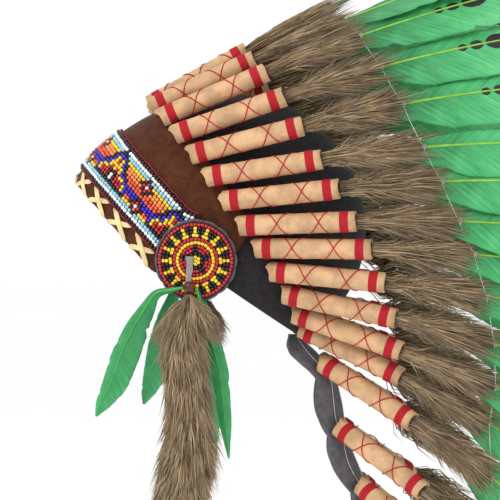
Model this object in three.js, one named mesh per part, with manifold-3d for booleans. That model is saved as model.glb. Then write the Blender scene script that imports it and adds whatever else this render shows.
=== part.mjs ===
// A feathered headdress: a felt skull cap with a suede and beaded brow, a ring of sleeved plumes,
// a plume trailer at the nape, and a fur and feather drop under the rosette at each temple.
// Millimetres. +Z is up, +X runs back from the brow, and -Y is the wearer's left.
// The origin is the top of the hollow, where the cap sits on the crown of the head.
import * as THREE from "three";
import { mergeVertices } from "three/addons/utils/BufferGeometryUtils.js";
import Module from "manifold-3d";

const wasm = await Module();
wasm.setup();

const degree = Math.PI / 180;
const gap = 0.3; // clearance between pieces that lie on each other
const layerGap = 0.6; // the same between large curved layers
const settleReach = 12; // how far round a piece the next one is looked for

// Skull cap
const headTilt = 34.5 * degree; // the cap leans back as worn in this pose
const browReach = 130; // from the crown forward
const napeReach = 122; // from the crown back
const capWidth = 160;
const capHeight = 162; // rim at the brow to the outside of the crown
const feltWall = 2.4;
const shoulderHeight = 50; // at the sides and the back the wall is upright below, domed above
const browShoulder = 15; // the same at the brow
const browSlope = 1.6; // power of the dome's curve at the brow, where it leans back early
const domeCurve = 2; // and elsewhere
const browTuck = 0.015; // shares by which the rim is tighter than the shoulder
const sideTuck = 0.037;
const napeTuck = 0.14;
const templeDip = 24; // the rim hangs lower at the temples
const templePlace = 97; // from the brow back to the lowest point
const templeRise = 50; // length over which the rim comes up again behind it
const capTurns = 36; // facets round the cap
const lowRows = 5; // rows of facets up to the brow panel's upper edge
const domeRows = 5; // and from there to the crown

// Brow panel, lacing and bead band
const suedeWall = 1.5;
const panelEnd = 100 * degree; // how far round each side the suede reaches
const panelOverRing = 9; // the suede's upper edge above the plumes' inner ends
const bandRows = 15; // beads across the band
const bandRowPitch = 3.05;
const bandAboveRim = 14;
const bandEnd = 80 * degree;
const bandThickness = 2.6;
const laceWidth = 4.4;
const laceThickness = 1;
const laceInset = 0.9; // clearance of the lace inside the rim
const laceOver = 0.6; // share of its thickness by which one arm of a cross rides over the other
const lacePitch = 29.5; // from one cross to the next
const crossHeight = 12.5;
const crossLean = 9.5; // half the spread of a cross along the rim
const crossesPerSide = 4;

// Rosettes and what hangs from them
const rosetteRadius = 31.6;
const rosetteThickness = 3;
const rosetteSides = 24;
const rosetteTurn = 88.5 * degree;
const rosetteHeight = 5;
const backingMargin = 3.2;
const backingThickness = 1.6;
const scallopCount = 16;
const scallopDepth = 1.1;
const thongShift = -5; // the thong leaves the rosette forward of its middle
const thongWidth = 6.4;
const thongThickness = 1.6;
const thongLength = 17;
const tieBeadRadius = 5.2;
const tieBeadOut = 2.5; // the bead stands this far out from the middle of its thong
const furDropLength = 205;
const furDropWidth = 48;
const furDropThickness = 20;
const tuftLength = 40;
const tuftLean = 22;
const tuftRadius = 4.5;
const tuftRise = 2.7; // a tuft's end stands this much further out than its start
const dropFeatherThickness = 1.2;
const dropQuillThickness = 1.9;

// Plumes
const ringFront = 89; // height of the plumes' inner ends at the brow
const ringTilt = 21.5 * degree; // the ring of inner ends runs down to the nape
const ringBow = 8; // and bows up by this much over each ear
const ringEndGap = 1.4; // pitches left free between the last plume and the nape
const sleeveLength = 97;
const sleeveRadius = 8.5;
const lockLength = 92;
const lockWidth = 23;
const lockThickness = 11;
const featherLength = 300; // beyond the sleeve
const vaneStart = 70; // beyond the sleeve, inside the fur lock
const narrowVane = 15;
const wideVane = 32;
const centreVane = 20; // both sides of the middle plume
const quillThickness = 3;
const quillTaper = 0.7; // share of that thickness lost by the tip
const vaneThickness = 0.9;
const plumeSag = 34; // how far a tip bends to its wide side
const plumeBow = 14; // how far a tip bends inwards
const shingleRoll = 10 * degree; // wide side lies over the next plume

// Trailer
const trailerLength = 225;
const trailerRadius = 35;
const trailerHalfAngle = 72 * degree;
const scallopPitch = 52.5;
const trailerScallop = 9; // depth of the waves along each edge
const trailerTaper = 0.35; // share of its width lost at the rounded end
const trailerPlumeStart = 38;
const trailerPlumeAngle = 45 * degree;

// Half of the ring, from the brow to the nape. rise: above the rim's plane, flare: away from the
// middle plane, face: turn of the flat of the plume from the front to the side, all in degrees.
const crownPlumes = [
  { rise: 59.2, flare: 3, face: 36 },
  { rise: 57.4, flare: 4, face: 60 },
  { rise: 53.2, flare: 5, face: 73 },
  { rise: 48.6, flare: 6, face: 79 },
  { rise: 43, flare: 7, face: 83 },
  { rise: 40.4, flare: 8, face: 86 },
  { rise: 36.5, flare: 9, face: 88 },
  { rise: 33.8, flare: 10, face: 90 },
  { rise: 29, flare: 11.5, face: 90 },
  { rise: 22.5, flare: 13, face: 90 },
  { rise: 15.8, flare: 15, face: 90 },
  { rise: 9, flare: 17.5, face: 90 },
];
const centrePlume = { rise: 63.5, flare: 0, face: 0 };

// The trailer's plumes, from the nape down. Here rise is above the horizontal.
const trailerPlumes = [
  { rise: -32.5, flare: 26, face: 90 },
  { rise: -36, flare: 29, face: 90 },
  { rise: -42, flare: 31, face: 90 },
  { rise: -48, flare: 33, face: 90 },
];

// A fur lock. along: share of its length, width and depth: shares of its full width and thickness.
// Its two side tips have their own lengths, in shares of the lock's, and sections of their own.
const lockSections = [
  { along: -0.03, width: 0.6, depth: 0.95 },
  { along: 0.22, width: 0.96, depth: 1 },
  { along: 0.62, width: 1, depth: 0.8 },
  { along: 1, width: 0.16, depth: 0.16 },
];
const lockTips = [
  { side: -1, length: 0.78 },
  { side: 1, length: 0.92 },
];
const tipDrift = 0.42; // a tip's end stands this share of the lock's width off its middle
const tipWidth = 0.5;
const tipDepth = 0.7;
const tipSections = [
  { along: 0.25, width: 1, depth: 1 },
  { along: 1, width: 0.2, depth: 0.2 },
];

// A vane. along: share of its length, width: share of the full width on either side of the quill.
const vaneSections = [
  { along: 0, width: 0.3 },
  { along: 0.2, width: 0.88 },
  { along: 0.5, width: 1 },
  { along: 0.85, width: 0.86 },
  { along: 1, width: 0.1 },
];

// The fur drop. along: share of its length, sway: towards the back, and width and depth: shares of
// its full length, width and thickness.
const furDropSections = [
  { along: 0, sway: 0, width: 0.14, depth: 0.3 },
  { along: 0.06, sway: -0.01, width: 0.3, depth: 0.42 },
  { along: 0.2, sway: -0.035, width: 0.82, depth: 0.9 },
  { along: 0.34, sway: -0.01, width: 0.76, depth: 0.9 },
  { along: 0.5, sway: 0, width: 0.74, depth: 0.95 },
  { along: 0.68, sway: -0.012, width: 0.88, depth: 1 },
  { along: 0.86, sway: -0.03, width: 1, depth: 1 },
  { along: 1, sway: -0.045, width: 0.4, depth: 0.4 },
];

// The short tufts over its top. along: share of their length, width: share of their full width.
const tuftSections = [
  { along: 0.05, width: 0.45 },
  { along: 0.45, width: 1 },
  { along: 1, width: 0.2 },
];

// Feathers tied in with the fur drop. down: below the tie bead, back: from its side, in: towards
// the head, all shares of the feather's length, and fore and aft: shares of its width.
const dropFeathers = {
  fore: {
    length: 130,
    width: 24,
    hand: -1,
    path: [
      { down: 0, back: 0, in: 0, fore: 0.04, aft: 0.04 },
      { down: 0.03, back: -0.18, in: 0.01, fore: 0.12, aft: 0.2 },
      { down: 0.25, back: -0.32, in: 0.08, fore: 0.28, aft: 0.56 },
      { down: 0.44, back: -0.41, in: 0.1, fore: 0.32, aft: 0.68 },
      { down: 0.62, back: -0.47, in: 0.11, fore: 0.3, aft: 0.6 },
      { down: 0.76, back: -0.54, in: 0.11, fore: 0.18, aft: 0.34 },
      { down: 0.84, back: -0.57, in: 0.11, fore: 0.03, aft: 0.05 },
    ],
  },
  aft: {
    length: 145,
    width: 15,
    hand: 1,
    path: [
      { down: 0, back: 0.004, in: 0, fore: 0.03, aft: 0.06 },
      { down: 0.15, back: 0.04, in: 0.05, fore: 0.24, aft: 0.3 },
      { down: 0.31, back: 0.09, in: 0.09, fore: 0.44, aft: 0.52 },
      { down: 0.5, back: 0.14, in: 0.1, fore: 0.48, aft: 0.5 },
      { down: 0.8, back: 0.17, in: 0.11, fore: 0.36, aft: 0.36 },
      { down: 1, back: 0.19, in: 0.11, fore: 0.05, aft: 0.05 },
    ],
  },
};
const farSideDraw = 0.55; // the right-hand drop's feathers hang closer to its fur

// The back line of the trailer. fall: below the nape, back: behind it, shares of its length.
const trailerPath = [
  { fall: 0, back: 0 },
  { fall: 0.06, back: 0.07 },
  { fall: 0.14, back: 0.14 },
  { fall: 0.25, back: 0.175 },
  { fall: 0.4, back: 0.2 },
  { fall: 0.55, back: 0.26 },
  { fall: 0.75, back: 0.34 },
  { fall: 0.95, back: 0.41 },
];

const material = {
  felt: new THREE.MeshStandardMaterial({ color: "#3a383a", roughness: 0.95 }),
  trailerFelt: new THREE.MeshStandardMaterial({ color: "#57555a", roughness: 0.95 }),
  suede: new THREE.MeshStandardMaterial({ color: "#5a3018", roughness: 0.9 }),
  lace: new THREE.MeshStandardMaterial({ color: "#ebd7a0", roughness: 0.8 }),
  beads: new THREE.MeshStandardMaterial({ color: "#b5442a", roughness: 0.3 }),
  thong: new THREE.MeshStandardMaterial({ color: "#8d8a88", roughness: 0.7 }),
  tieBead: new THREE.MeshStandardMaterial({ color: "#4a1a12", roughness: 0.2 }),
  fur: new THREE.MeshStandardMaterial({ color: "#8a7558", roughness: 0.95 }),
  plume: new THREE.MeshStandardMaterial({ color: "#6ec882", roughness: 0.7 }),
};

// A closed mesh from corners in threes. Corners that meet at a pole leave no sliver behind.
function meshFrom(corners) {
  const kept = [];
  for (let i = 0; i < corners.length; i += 3) {
    const [a, b, c] = corners.slice(i, i + 3);
    const flat = Math.min(a.distanceTo(b), b.distanceTo(c), c.distanceTo(a)) < 2e-3;
    if (!flat) kept.push(a, b, c);
  }
  return new THREE.BufferGeometry().setFromPoints(kept);
}

// A wall between an outer and an inner surface. place(column, row, inside) gives its corners.
function wall(columns, rows, place, round = false) {
  const corners = [];
  const quad = (a, b, c, d) => corners.push(a, b, c, a, c, d);
  const out = (i, j) => place(round ? i % columns : i, j, false);
  const inn = (i, j) => place(round ? i % columns : i, j, true);
  for (let i = 0; i < columns; i += 1) {
    for (let j = 0; j < rows; j += 1) {
      quad(out(i, j), out(i + 1, j), out(i + 1, j + 1), out(i, j + 1));
      quad(inn(i, j), inn(i, j + 1), inn(i + 1, j + 1), inn(i + 1, j));
    }
    quad(out(i + 1, 0), out(i, 0), inn(i, 0), inn(i + 1, 0));
    const pole = out(i, rows).distanceTo(out(i + 1, rows)) < 1e-3;
    if (!pole) quad(out(i, rows), out(i + 1, rows), inn(i + 1, rows), inn(i, rows));
  }
  for (let j = 0; j < rows && !round; j += 1) {
    quad(out(0, j), out(0, j + 1), inn(0, j + 1), inn(0, j));
    quad(out(columns, j + 1), out(columns, j), inn(columns, j), inn(columns, j + 1));
  }
  return meshFrom(corners);
}

// A skin over rings of points that go round +X, closed by a flat face at each end.
function loft(rings) {
  const corners = [];
  const count = rings[0].length;
  for (let s = 0; s + 1 < rings.length; s += 1) {
    for (let k = 0; k < count; k += 1) {
      const next = (k + 1) % count;
      const [a, b] = [rings[s][k], rings[s][next]];
      const [c, d] = [rings[s + 1][next], rings[s + 1][k]];
      corners.push(a, b, c, a, c, d);
    }
  }
  const last = rings[rings.length - 1];
  for (let k = 1; k + 1 < count; k += 1) {
    corners.push(rings[0][0], rings[0][k + 1], rings[0][k]);
    corners.push(last[0], last[k], last[k + 1]);
  }
  return meshFrom(corners);
}

// An oval ring of points round +X.
function oval(centre, halfWidth, halfDepth, sides, turn = 0) {
  return Array.from({ length: sides }, (_, k) => {
    const angle = ((k + turn) / sides) * 2 * Math.PI;
    const offset = [0, halfWidth * Math.cos(angle), halfDepth * Math.sin(angle)];
    return new THREE.Vector3(...offset).add(centre);
  });
}

// A thin blade with a rib along its middle. Each station has a centre, the directions across and
// up, the reach of the blade to either side, and the half thickness of its rib and its edges.
function blade(stations) {
  return loft(
    stations.map(({ centre, across, up, low, high, rib, edge }) =>
      [[high, -edge], [high, edge], [0, rib], [low, edge], [low, -edge], [0, -rib]].map(([a, b]) =>
        centre.clone().addScaledVector(across, a).addScaledVector(up, b),
      ),
    ),
  );
}

// The same geometry with shared corners, as a solid that can be joined.
function toSolid(geometry) {
  const bare = geometry.index ? geometry.toNonIndexed() : geometry.clone();
  bare.deleteAttribute("normal");
  bare.deleteAttribute("uv");
  const merged = mergeVertices(bare, 1e-4);
  const numProp = 3;
  const vertProperties = merged.attributes.position.array;
  return new wasm.Manifold(
    new wasm.Mesh({ numProp, vertProperties, triVerts: new Uint32Array(merged.index.array) }),
  );
}

// Several closed meshes as one.
function joined(geometries) {
  const whole = geometries.map(toSolid).reduce((a, b) => a.add(b));
  const mesh = whole.getMesh();
  return new THREE.BufferGeometry()
    .setAttribute("position", new THREE.BufferAttribute(mesh.vertProperties, 3))
    .setIndex(new THREE.BufferAttribute(mesh.triVerts, 1));
}

// The same shape on the other side of the middle plane, still facing out.
function mirrored(geometry) {
  const other = geometry.index ? geometry.toNonIndexed() : geometry.clone();
  const place = other.attributes.position;
  for (let i = 0; i < place.count; i += 3) {
    const corners = [0, 2, 1].map((k) => new THREE.Vector3().fromBufferAttribute(place, i + k));
    corners.forEach((corner, k) => place.setXYZ(i + k, corner.x, -corner.y, corner.z));
  }
  return other;
}

function named(name, geometry, finish) {
  const mesh = new THREE.Mesh(geometry, finish);
  mesh.name = name;
  return mesh;
}

// The head form grown by out: turn 0 is the brow, half a turn the nape, and a quarter turn the
// wearer's left temple. x runs back along the rim and z stands on the rim's plane.
function headPoint(turn, height, out = 0) {
  const [ahead, aside] = [Math.cos(turn), Math.sin(turn)];
  const shoulder = shoulderHeight - (shoulderHeight - browShoulder) * Math.max(0, ahead) ** 2;
  const climb = THREE.MathUtils.clamp((height - shoulder) / (capHeight + out - shoulder), 0, 1);
  const power = domeCurve - (domeCurve - browSlope) * Math.max(0, ahead) ** 2;
  const dome = Math.sqrt(1 - climb ** power);
  const low = Math.max(0, 1 - height / shoulder);
  const endTuck = ahead > 0 ? browTuck : napeTuck;
  const tuck = 1 - (endTuck * ahead * ahead + sideTuck * aside * aside) * low * low;
  const reach = ahead > 0 ? browReach : napeReach;
  return new THREE.Vector3(
    headMiddle - (reach * tuck + out) * dome * ahead,
    -((capWidth / 2) * tuck + out) * dome * aside,
    height,
  );
}
const headMiddle = browReach * (1 - browTuck);

function headNormal(turn, height, out) {
  const round = headPoint(turn + 0.01, height, out).sub(headPoint(turn - 0.01, height, out));
  const up = headPoint(turn, height + 0.5, out).sub(headPoint(turn, height - 0.5, out));
  return round.cross(up).normalize();
}

// The rim is level, except where it hangs down in front of each ear.
function rimHeight(turn) {
  const back = headPoint(turn, 0).x;
  const behind = THREE.MathUtils.clamp((back - templePlace) / templeRise, 0, 1);
  const share = back < templePlace ? back / templePlace : 0.5 + 0.5 * Math.cos(Math.PI * behind);
  return -templeDip * share;
}

// Where the plumes' inner ends ring the cap.
function ringHeight(turn, out = 0) {
  const front = headPoint(0, ringFront, out).x;
  let height = ringFront;
  for (let i = 0; i < 20; i += 1) {
    const fall = Math.tan(ringTilt) * (headPoint(turn, height, out).x - front);
    height = ringFront + ringBow * Math.sin(turn) ** 2 - fall;
  }
  return height;
}

// The turns that split a line round the cap into equal lengths, from the brow to the nape.
function evenTurns(heightAt, lengths) {
  const steps = 360;
  const places = [];
  let run = 0;
  let before = headPoint(0, heightAt(0));
  for (let i = 1; i <= steps; i += 1) {
    const turn = (i / steps) * Math.PI;
    const here = headPoint(turn, heightAt(turn));
    run += here.distanceTo(before);
    before = here;
    places.push({ turn, run });
  }
  const total = run;
  return lengths(total).map((length) => places.find((place) => place.run >= length).turn);
}

const panelTop = (turn) => ringHeight(turn) + panelOverRing;

function skullCap() {
  const place = (i, j, inside) => {
    const turn = (i / capTurns) * 2 * Math.PI;
    const out = inside ? -feltWall : 0;
    const [rim, edge, top] = [rimHeight(turn), panelTop(turn), capHeight + out];
    const climb = Math.sin((Math.max(0, j - lowRows) / domeRows) * (Math.PI / 2));
    const height = j < lowRows ? rim + (edge - rim) * (j / lowRows) : edge + (top - edge) * climb;
    return headPoint(turn, height, out);
  };
  return wall(capTurns, lowRows + domeRows, place, true);
}

const turnStep = (2 * Math.PI) / capTurns;
const panelOut = layerGap + suedeWall;

// A layer on the cap between two heights, from the same turn on one side to the other.
function layer(end, rows, low, high, under, thickness) {
  const perSide = Math.round(end / turnStep);
  const place = (i, j, inside) => {
    const turn = (i - perSide) * turnStep;
    const height = low(turn) + (high(turn) - low(turn)) * (j / rows);
    return headPoint(turn, height, inside ? under : under + thickness);
  };
  return wall(2 * perSide, rows, place);
}

function browPanel() {
  return layer(panelEnd, lowRows, rimHeight, panelTop, layerGap, suedeWall);
}

function beadBand() {
  const low = (turn) => rimHeight(turn) + bandAboveRim;
  const high = (turn) => low(turn) + bandRows * bandRowPitch;
  return layer(bandEnd, 3, low, high, panelOut + layerGap, bandThickness);
}

// One arm of a cross, from the run of lace inside the rim round it and up the outside of the suede.
// The arm that lies over the other stands out by the share over of the lace's thickness.
function laceArm(turn, lean, over) {
  const outside = panelOut + layerGap + over * laceThickness;
  const inside = -feltWall - laceInset - laceThickness / 2;
  const spread = lean / headPoint(turn + 0.5, 0).distanceTo(headPoint(turn - 0.5, 0));
  const route = [
    { out: outside, height: crossHeight, turn: turn + spread },
    { out: outside, height: crossHeight / 2, turn },
    { out: outside, height: -gap, turn: turn - spread },
    { out: inside, height: -gap, turn: turn - spread },
  ];
  const halfTurn = (Math.abs(spread / lean) * laceWidth) / 2;
  const corner = (step, side, grown) => {
    const rim = rimHeight(step.turn + side * halfTurn);
    const wrap = step.height < 0 ? grown * laceThickness : 0;
    const out = step.out + (step.out > 0 ? grown * laceThickness : 0);
    return headPoint(step.turn + side * halfTurn, rim + step.height - wrap, out);
  };
  const rings = route.map((step) => [
    corner(step, -1, 0),
    corner(step, 1, 0),
    corner(step, 1, 1),
    corner(step, -1, 1),
  ]);
  return loft(rings);
}

// The crosses, and the run of lace inside the rim that joins them.
function browLacing() {
  const reach = Array.from({ length: crossesPerSide }, (_, k) => (k + 1) * lacePitch);
  const side = evenTurns(rimHeight, () => reach);
  const turns = [...side.map((turn) => -turn).reverse(), 0, ...side];
  const arms = turns.flatMap((turn) => [
    laceArm(turn, crossLean, 0),
    laceArm(turn, -crossLean, laceOver),
  ]);
  const low = (turn) => rimHeight(turn) - gap - laceThickness / 2;
  const high = (turn) => low(turn) + laceWidth;
  const end = side[side.length - 1] + turnStep / 2;
  const under = -feltWall - laceInset - laceThickness;
  const run = layer(end, 1, low, high, under, laceThickness);
  return joined([run, ...arms]);
}

// A disc with its axis along +Z, whose edge can be scalloped.
function disc(radius, thickness, sides, wave = 0) {
  const ring = (z) =>
    Array.from({ length: sides }, (_, k) => {
      const angle = (k / sides) * 2 * Math.PI;
      const reach = radius + wave * Math.cos(angle * scallopCount);
      return new THREE.Vector3(reach * Math.cos(angle), reach * Math.sin(angle), z);
    });
  const corners = [];
  const [low, high] = [ring(0), ring(thickness)];
  const [under, over] = [new THREE.Vector3(), new THREE.Vector3(0, 0, thickness)];
  for (let k = 0; k < sides; k += 1) {
    const next = (k + 1) % sides;
    corners.push(low[k], low[next], high[next], low[k], high[next], high[k]);
    corners.push(over, high[k], high[next], under, low[next], low[k]);
  }
  return meshFrom(corners);
}

// A sleeve of rolled leather, the fur lock tied over its end, and the quill and vane beyond,
// along +X with the wide side of the vane towards side times +Y and the outside towards +Z.
function plume(side, narrow = narrowVane, wide = wideVane) {
  const bent = (x, across, up) => {
    const share = Math.max(0, (x - sleeveLength) / featherLength);
    const sag = narrow === wide ? 0 : plumeSag * share * share;
    return new THREE.Vector3(x, side * (across + sag), up - plumeBow * share * share);
  };
  const sleeve = loft([
    oval(new THREE.Vector3(), sleeveRadius, sleeveRadius, 8, 0.5),
    oval(new THREE.Vector3(sleeveLength, 0, 0), sleeveRadius, sleeveRadius, 8, 0.5),
  ]);
  const lobe = (sections, length, width, depth, drift, sides) =>
    loft(
      sections.map((section) => {
        const x = sleeveLength + section.along * length;
        const centre = bent(x, drift * section.along, 0);
        return oval(centre, (section.width * width) / 2, (section.depth * depth) / 2, sides, 0.5);
      }),
    );
  const main = lobe(lockSections, lockLength, lockWidth, lockThickness, 0, 6);
  const tips = lockTips.map((tip) => {
    const drift = tip.side * tipDrift * lockWidth;
    const [width, depth] = [tipWidth * lockWidth, tipDepth * lockThickness];
    return lobe(tipSections, tip.length * lockLength, width, depth, drift, 4);
  });
  const vane = blade(
    vaneSections.map((section) => {
      const x = sleeveLength + vaneStart + section.along * (featherLength - vaneStart);
      const [near, far] = [narrow * section.width, wide * section.width];
      return {
        centre: bent(x, 0, 0),
        across: new THREE.Vector3(0, 1, 0),
        up: new THREE.Vector3(0, 0, 1),
        low: side > 0 ? -near : -far,
        high: side > 0 ? far : near,
        rib: (quillThickness / 2) * (1 - quillTaper * section.along),
        edge: vaneThickness / 2,
      };
    }),
  );
  return joined([sleeve, main, ...tips, vane]);
}

// The way a plume points, from its rise and its flare to one side.
function pointing(row, side) {
  const [rise, flare] = [row.rise * degree, row.flare * degree];
  return new THREE.Vector3(
    Math.cos(flare) * Math.cos(rise),
    side * Math.sin(flare),
    Math.cos(flare) * Math.sin(rise),
  );
}

// Moves a mesh along a direction, against what it rests on, until only the gap is left.
function settle(mesh, inwards, supports) {
  const placed = (piece) => {
    piece.updateMatrix();
    return toSolid(piece.geometry).transform(piece.matrix.elements);
  };
  const beds = supports.map(placed);
  for (let i = 0; i < 4; i += 1) {
    const clear = Math.min(...beds.map((bed) => placed(mesh).minGap(bed, settleReach)));
    mesh.position.addScaledVector(inwards, clear - gap);
  }
}

// Sets a plume with its inner end on a surface, clear of it at its nearest edge.
function setPlume(mesh, row, side, seat, normal) {
  const along = pointing(row, side);
  const lean = Math.sqrt(Math.max(0, 1 - along.dot(normal) ** 2));
  const upright = new THREE.Vector3(-Math.sin(row.rise * degree), 0, Math.cos(row.rise * degree));
  const face = upright
    .multiplyScalar(Math.cos(row.face * degree))
    .add(new THREE.Vector3(0, side * Math.sin(row.face * degree), 0));
  face.addScaledVector(along, -face.dot(along)).normalize();
  const across = face.clone().cross(along);
  mesh.quaternion.setFromRotationMatrix(new THREE.Matrix4().makeBasis(along, across, face));
  mesh.rotateX(row.face === 0 ? 0 : side * shingleRoll);
  mesh.position.copy(seat).addScaledVector(normal, 2 * gap + sleeveRadius * lean);
}

// The trailer's surface: angle 0 is its back line, and the felt curves forward to each side.
function trailerPoint(angle, down, out = 0) {
  const reach = trailerRadius + out;
  const offset = [reach * Math.cos(angle) - trailerRadius, -reach * Math.sin(angle), 0];
  return trailerLine.getPointAt(down / trailerLength).add(new THREE.Vector3(...offset));
}

function trailerNormal(angle, down) {
  const round = trailerPoint(angle + 0.01, down).sub(trailerPoint(angle - 0.01, down));
  const fall = trailerPoint(angle, down + 0.5).sub(trailerPoint(angle, down - 0.5));
  return round.cross(fall).normalize();
}

function trailer() {
  const [columns, rows] = [6, 22];
  const place = (i, j, inside) => {
    const down = trailerLength * (1 - j / rows);
    const wave = trailerScallop * Math.abs(Math.sin((Math.PI * down) / scallopPitch));
    const tail = 1 - trailerTaper * (down / trailerLength) ** 6;
    const half = (trailerHalfAngle - (trailerScallop - wave) / trailerRadius) * tail;
    return trailerPoint(half * (1 - (2 * i) / columns), down, inside ? -feltWall : 0);
  };
  return wall(columns, rows, place);
}

const crown = new THREE.Group();
crown.rotation.y = headTilt;
const crownSeat = new THREE.Vector3(headMiddle, 0, capHeight - feltWall);
crown.position.copy(crownSeat).applyEuler(crown.rotation).negate();
crown.updateMatrixWorld(true);
const napePoint = crown.localToWorld(headPoint(Math.PI, 0));
napePoint.z -= 2 * gap;
const trailerLine = new THREE.CatmullRomCurve3(
  trailerPath.map(({ fall, back }) =>
    new THREE.Vector3(back, 0, -fall).multiplyScalar(trailerLength).add(napePoint),
  ),
);

const headdress = new THREE.Group();
headdress.add(crown);
const cap = named("skull_cap", skullCap(), material.felt);
const panel = named("brow_panel", browPanel(), material.suede);
const band = named("bead_band", beadBand(), material.beads);
const lacing = named("brow_lacing", browLacing(), material.lace);
crown.add(cap, panel, band, lacing);
const napeStrip = named("trailer", trailer(), material.trailerFelt);
headdress.add(napeStrip);

// The ring of plumes: one over the middle of the brow, and a half ring to each side.
function onRing(turn) {
  const out = Math.abs(turn) < panelEnd ? panelOut : 0;
  const height = ringHeight(turn, out);
  return { seat: headPoint(turn, height, out), normal: headNormal(turn, height, out) };
}

const middle = named("plume_centre", plume(1, centreVane, centreVane), material.plume);
const brow = onRing(0);
setPlume(middle, centrePlume, 1, brow.seat, brow.normal);
settle(middle, brow.normal.clone().negate(), [cap, panel]);
crown.add(middle);

const ringTurns = evenTurns(ringHeight, (half) =>
  crownPlumes.map((_, k) => ((k + 1) * half) / (crownPlumes.length + ringEndGap)),
);
for (const [hand, side] of [["left", -1], ["right", 1]]) {
  crownPlumes.forEach((row, k) => {
    const mesh = named(`plume_${hand}_${String(k + 1).padStart(2, "0")}`, plume(side), material.plume);
    const { seat, normal } = onRing(-side * ringTurns[k]);
    setPlume(mesh, row, side, seat, normal);
    settle(mesh, normal.negate(), [cap, panel]);
    crown.add(mesh);
  });
  trailerPlumes.forEach((row, k) => {
    const mesh = named(`trailer_plume_${hand}_${k + 1}`, plume(side), material.plume);
    const down = trailerPlumeStart + k * scallopPitch;
    const angle = -side * trailerPlumeAngle;
    const normal = trailerNormal(angle, down);
    setPlume(mesh, row, side, trailerPoint(angle, down), normal);
    settle(mesh, normal.negate(), [napeStrip]);
    headdress.add(mesh);
  });
}

// The rosettes lie flat on the temples, over the ends of the bead band.
const rosetteSeat = panelOut + layerGap + bandThickness + gap;
for (const [hand, side] of [["left", -1], ["right", 1]]) {
  const turn = -side * rosetteTurn;
  const normal = headNormal(turn, rosetteHeight, panelOut);
  const centre = headPoint(turn, rosetteHeight, 0);
  const reach = rosetteRadius + backingMargin;
  const round = disc(reach, backingThickness, 3 * scallopCount, scallopDepth);
  const backing = named(`rosette_backing_${hand}`, round, material.felt);
  backing.quaternion.setFromUnitVectors(new THREE.Vector3(0, 0, 1), normal);
  backing.position.copy(centre).addScaledVector(normal, rosetteSeat);
  settle(backing, normal.clone().negate(), [cap, panel, band, lacing]);
  const beaded = disc(rosetteRadius, rosetteThickness, rosetteSides);
  const rosette = named(`rosette_${hand}`, beaded, material.beads);
  rosette.quaternion.copy(backing.quaternion);
  rosette.position.copy(backing.position).addScaledVector(normal, backingThickness + gap);
  crown.add(backing, rosette);
  headdress.add(...drop(hand, side, rosette));
}

// What hangs from a rosette: a thong, a bead, the fur and two feathers, made for the wearer's
// left, where outwards is -Y, and mirrored for the right.
function drop(hand, side, rosette) {
  rosette.updateWorldMatrix(true, false);
  const hook = rosette.localToWorld(new THREE.Vector3(0, 0, rosetteThickness));
  const tilt = rosette.localToWorld(new THREE.Vector3(0, 0, rosetteThickness + 1)).sub(hook);
  const half = thongWidth / 2;
  const faceOut = (x, z) => side * (hook.y - (tilt.x * x + tilt.z * z) / tilt.y);
  const corners = [-half, half].flatMap((x) => [-half, half].map((z) => [thongShift + x, z]));
  const clear = gap + Math.max(...corners.map(([x, z]) => faceOut(x, z)));
  hook.x += thongShift;
  const at = (x, out, z) => new THREE.Vector3(hook.x + x, -clear - out, hook.z + z);
  const finished = (geometry) => (side < 0 ? geometry : mirrored(geometry));
  const outwards = new THREE.Vector3(0, -1, 0);

  const strip = (z) => [
    at(half, 0, z),
    at(-half, 0, z),
    at(-half, thongThickness, z),
    at(half, thongThickness, z),
  ];
  const thong = loft([strip(-thongLength), strip(half)]);

  const middleOut = thongThickness / 2 + tieBeadOut;
  const beadPlace = at(0, middleOut, -thongLength - gap - tieBeadRadius);
  const bead = new THREE.SphereGeometry(tieBeadRadius, 10, 7);
  bead.translate(...beadPlace.toArray());

  // Rings that go round the way down.
  const hanging = (x, out, z, halfWidth, halfDepth, sides) =>
    oval(new THREE.Vector3(), halfWidth, halfDepth, sides).map((p) => at(x + p.y, out + p.z, z));
  const top = -thongLength - 2 * gap - 2 * tieBeadRadius;
  const strand = loft(
    furDropSections.map(({ along, sway, width, depth }) =>
      hanging(
        sway * furDropLength,
        middleOut,
        top - along * furDropLength,
        (width * furDropWidth) / 2,
        (depth * furDropThickness) / 2,
        8,
      ),
    ),
  );
  const tuft = (lean) =>
    loft(
      tuftSections.map(({ along, width }) => {
        const out = middleOut + tuftRise * along;
        const radius = width * tuftRadius;
        return hanging(lean * along, out, top - along * tuftLength, radius, radius, 5);
      }),
    );
  const fur = joined([strand, tuft(-tuftLean), tuft(tuftLean)]);

  const feather = ({ length, width, hand: away, path }) => {
    const draw = side < 0 ? 1 : farSideDraw;
    const quill = path.map((row) => {
      const x = away * (tieBeadRadius + gap) + row.back * draw * length;
      return at(x, middleOut - row.in * length, beadPlace.z - hook.z - row.down * length);
    });
    return blade(
      path.map((row, k) => {
        const way = quill[Math.min(k + 1, quill.length - 1)].clone();
        way.sub(quill[Math.max(k - 1, 0)]).setY(0).normalize();
        return {
          centre: quill[k],
          across: outwards.clone().cross(way),
          up: outwards,
          low: -row.fore * width,
          high: row.aft * width,
          rib: dropQuillThickness / 2,
          edge: dropFeatherThickness / 2,
        };
      }),
    );
  };
  return [
    named(`thong_${hand}`, finished(thong), material.thong),
    named(`tie_bead_${hand}`, finished(bead), material.tieBead),
    named(`fur_drop_${hand}`, finished(fur), material.fur),
    named(`drop_feather_${hand}_fore`, finished(feather(dropFeathers.fore)), material.plume),
    named(`drop_feather_${hand}_aft`, finished(feather(dropFeathers.aft)), material.plume),
  ];
}

export default headdress;
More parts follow.
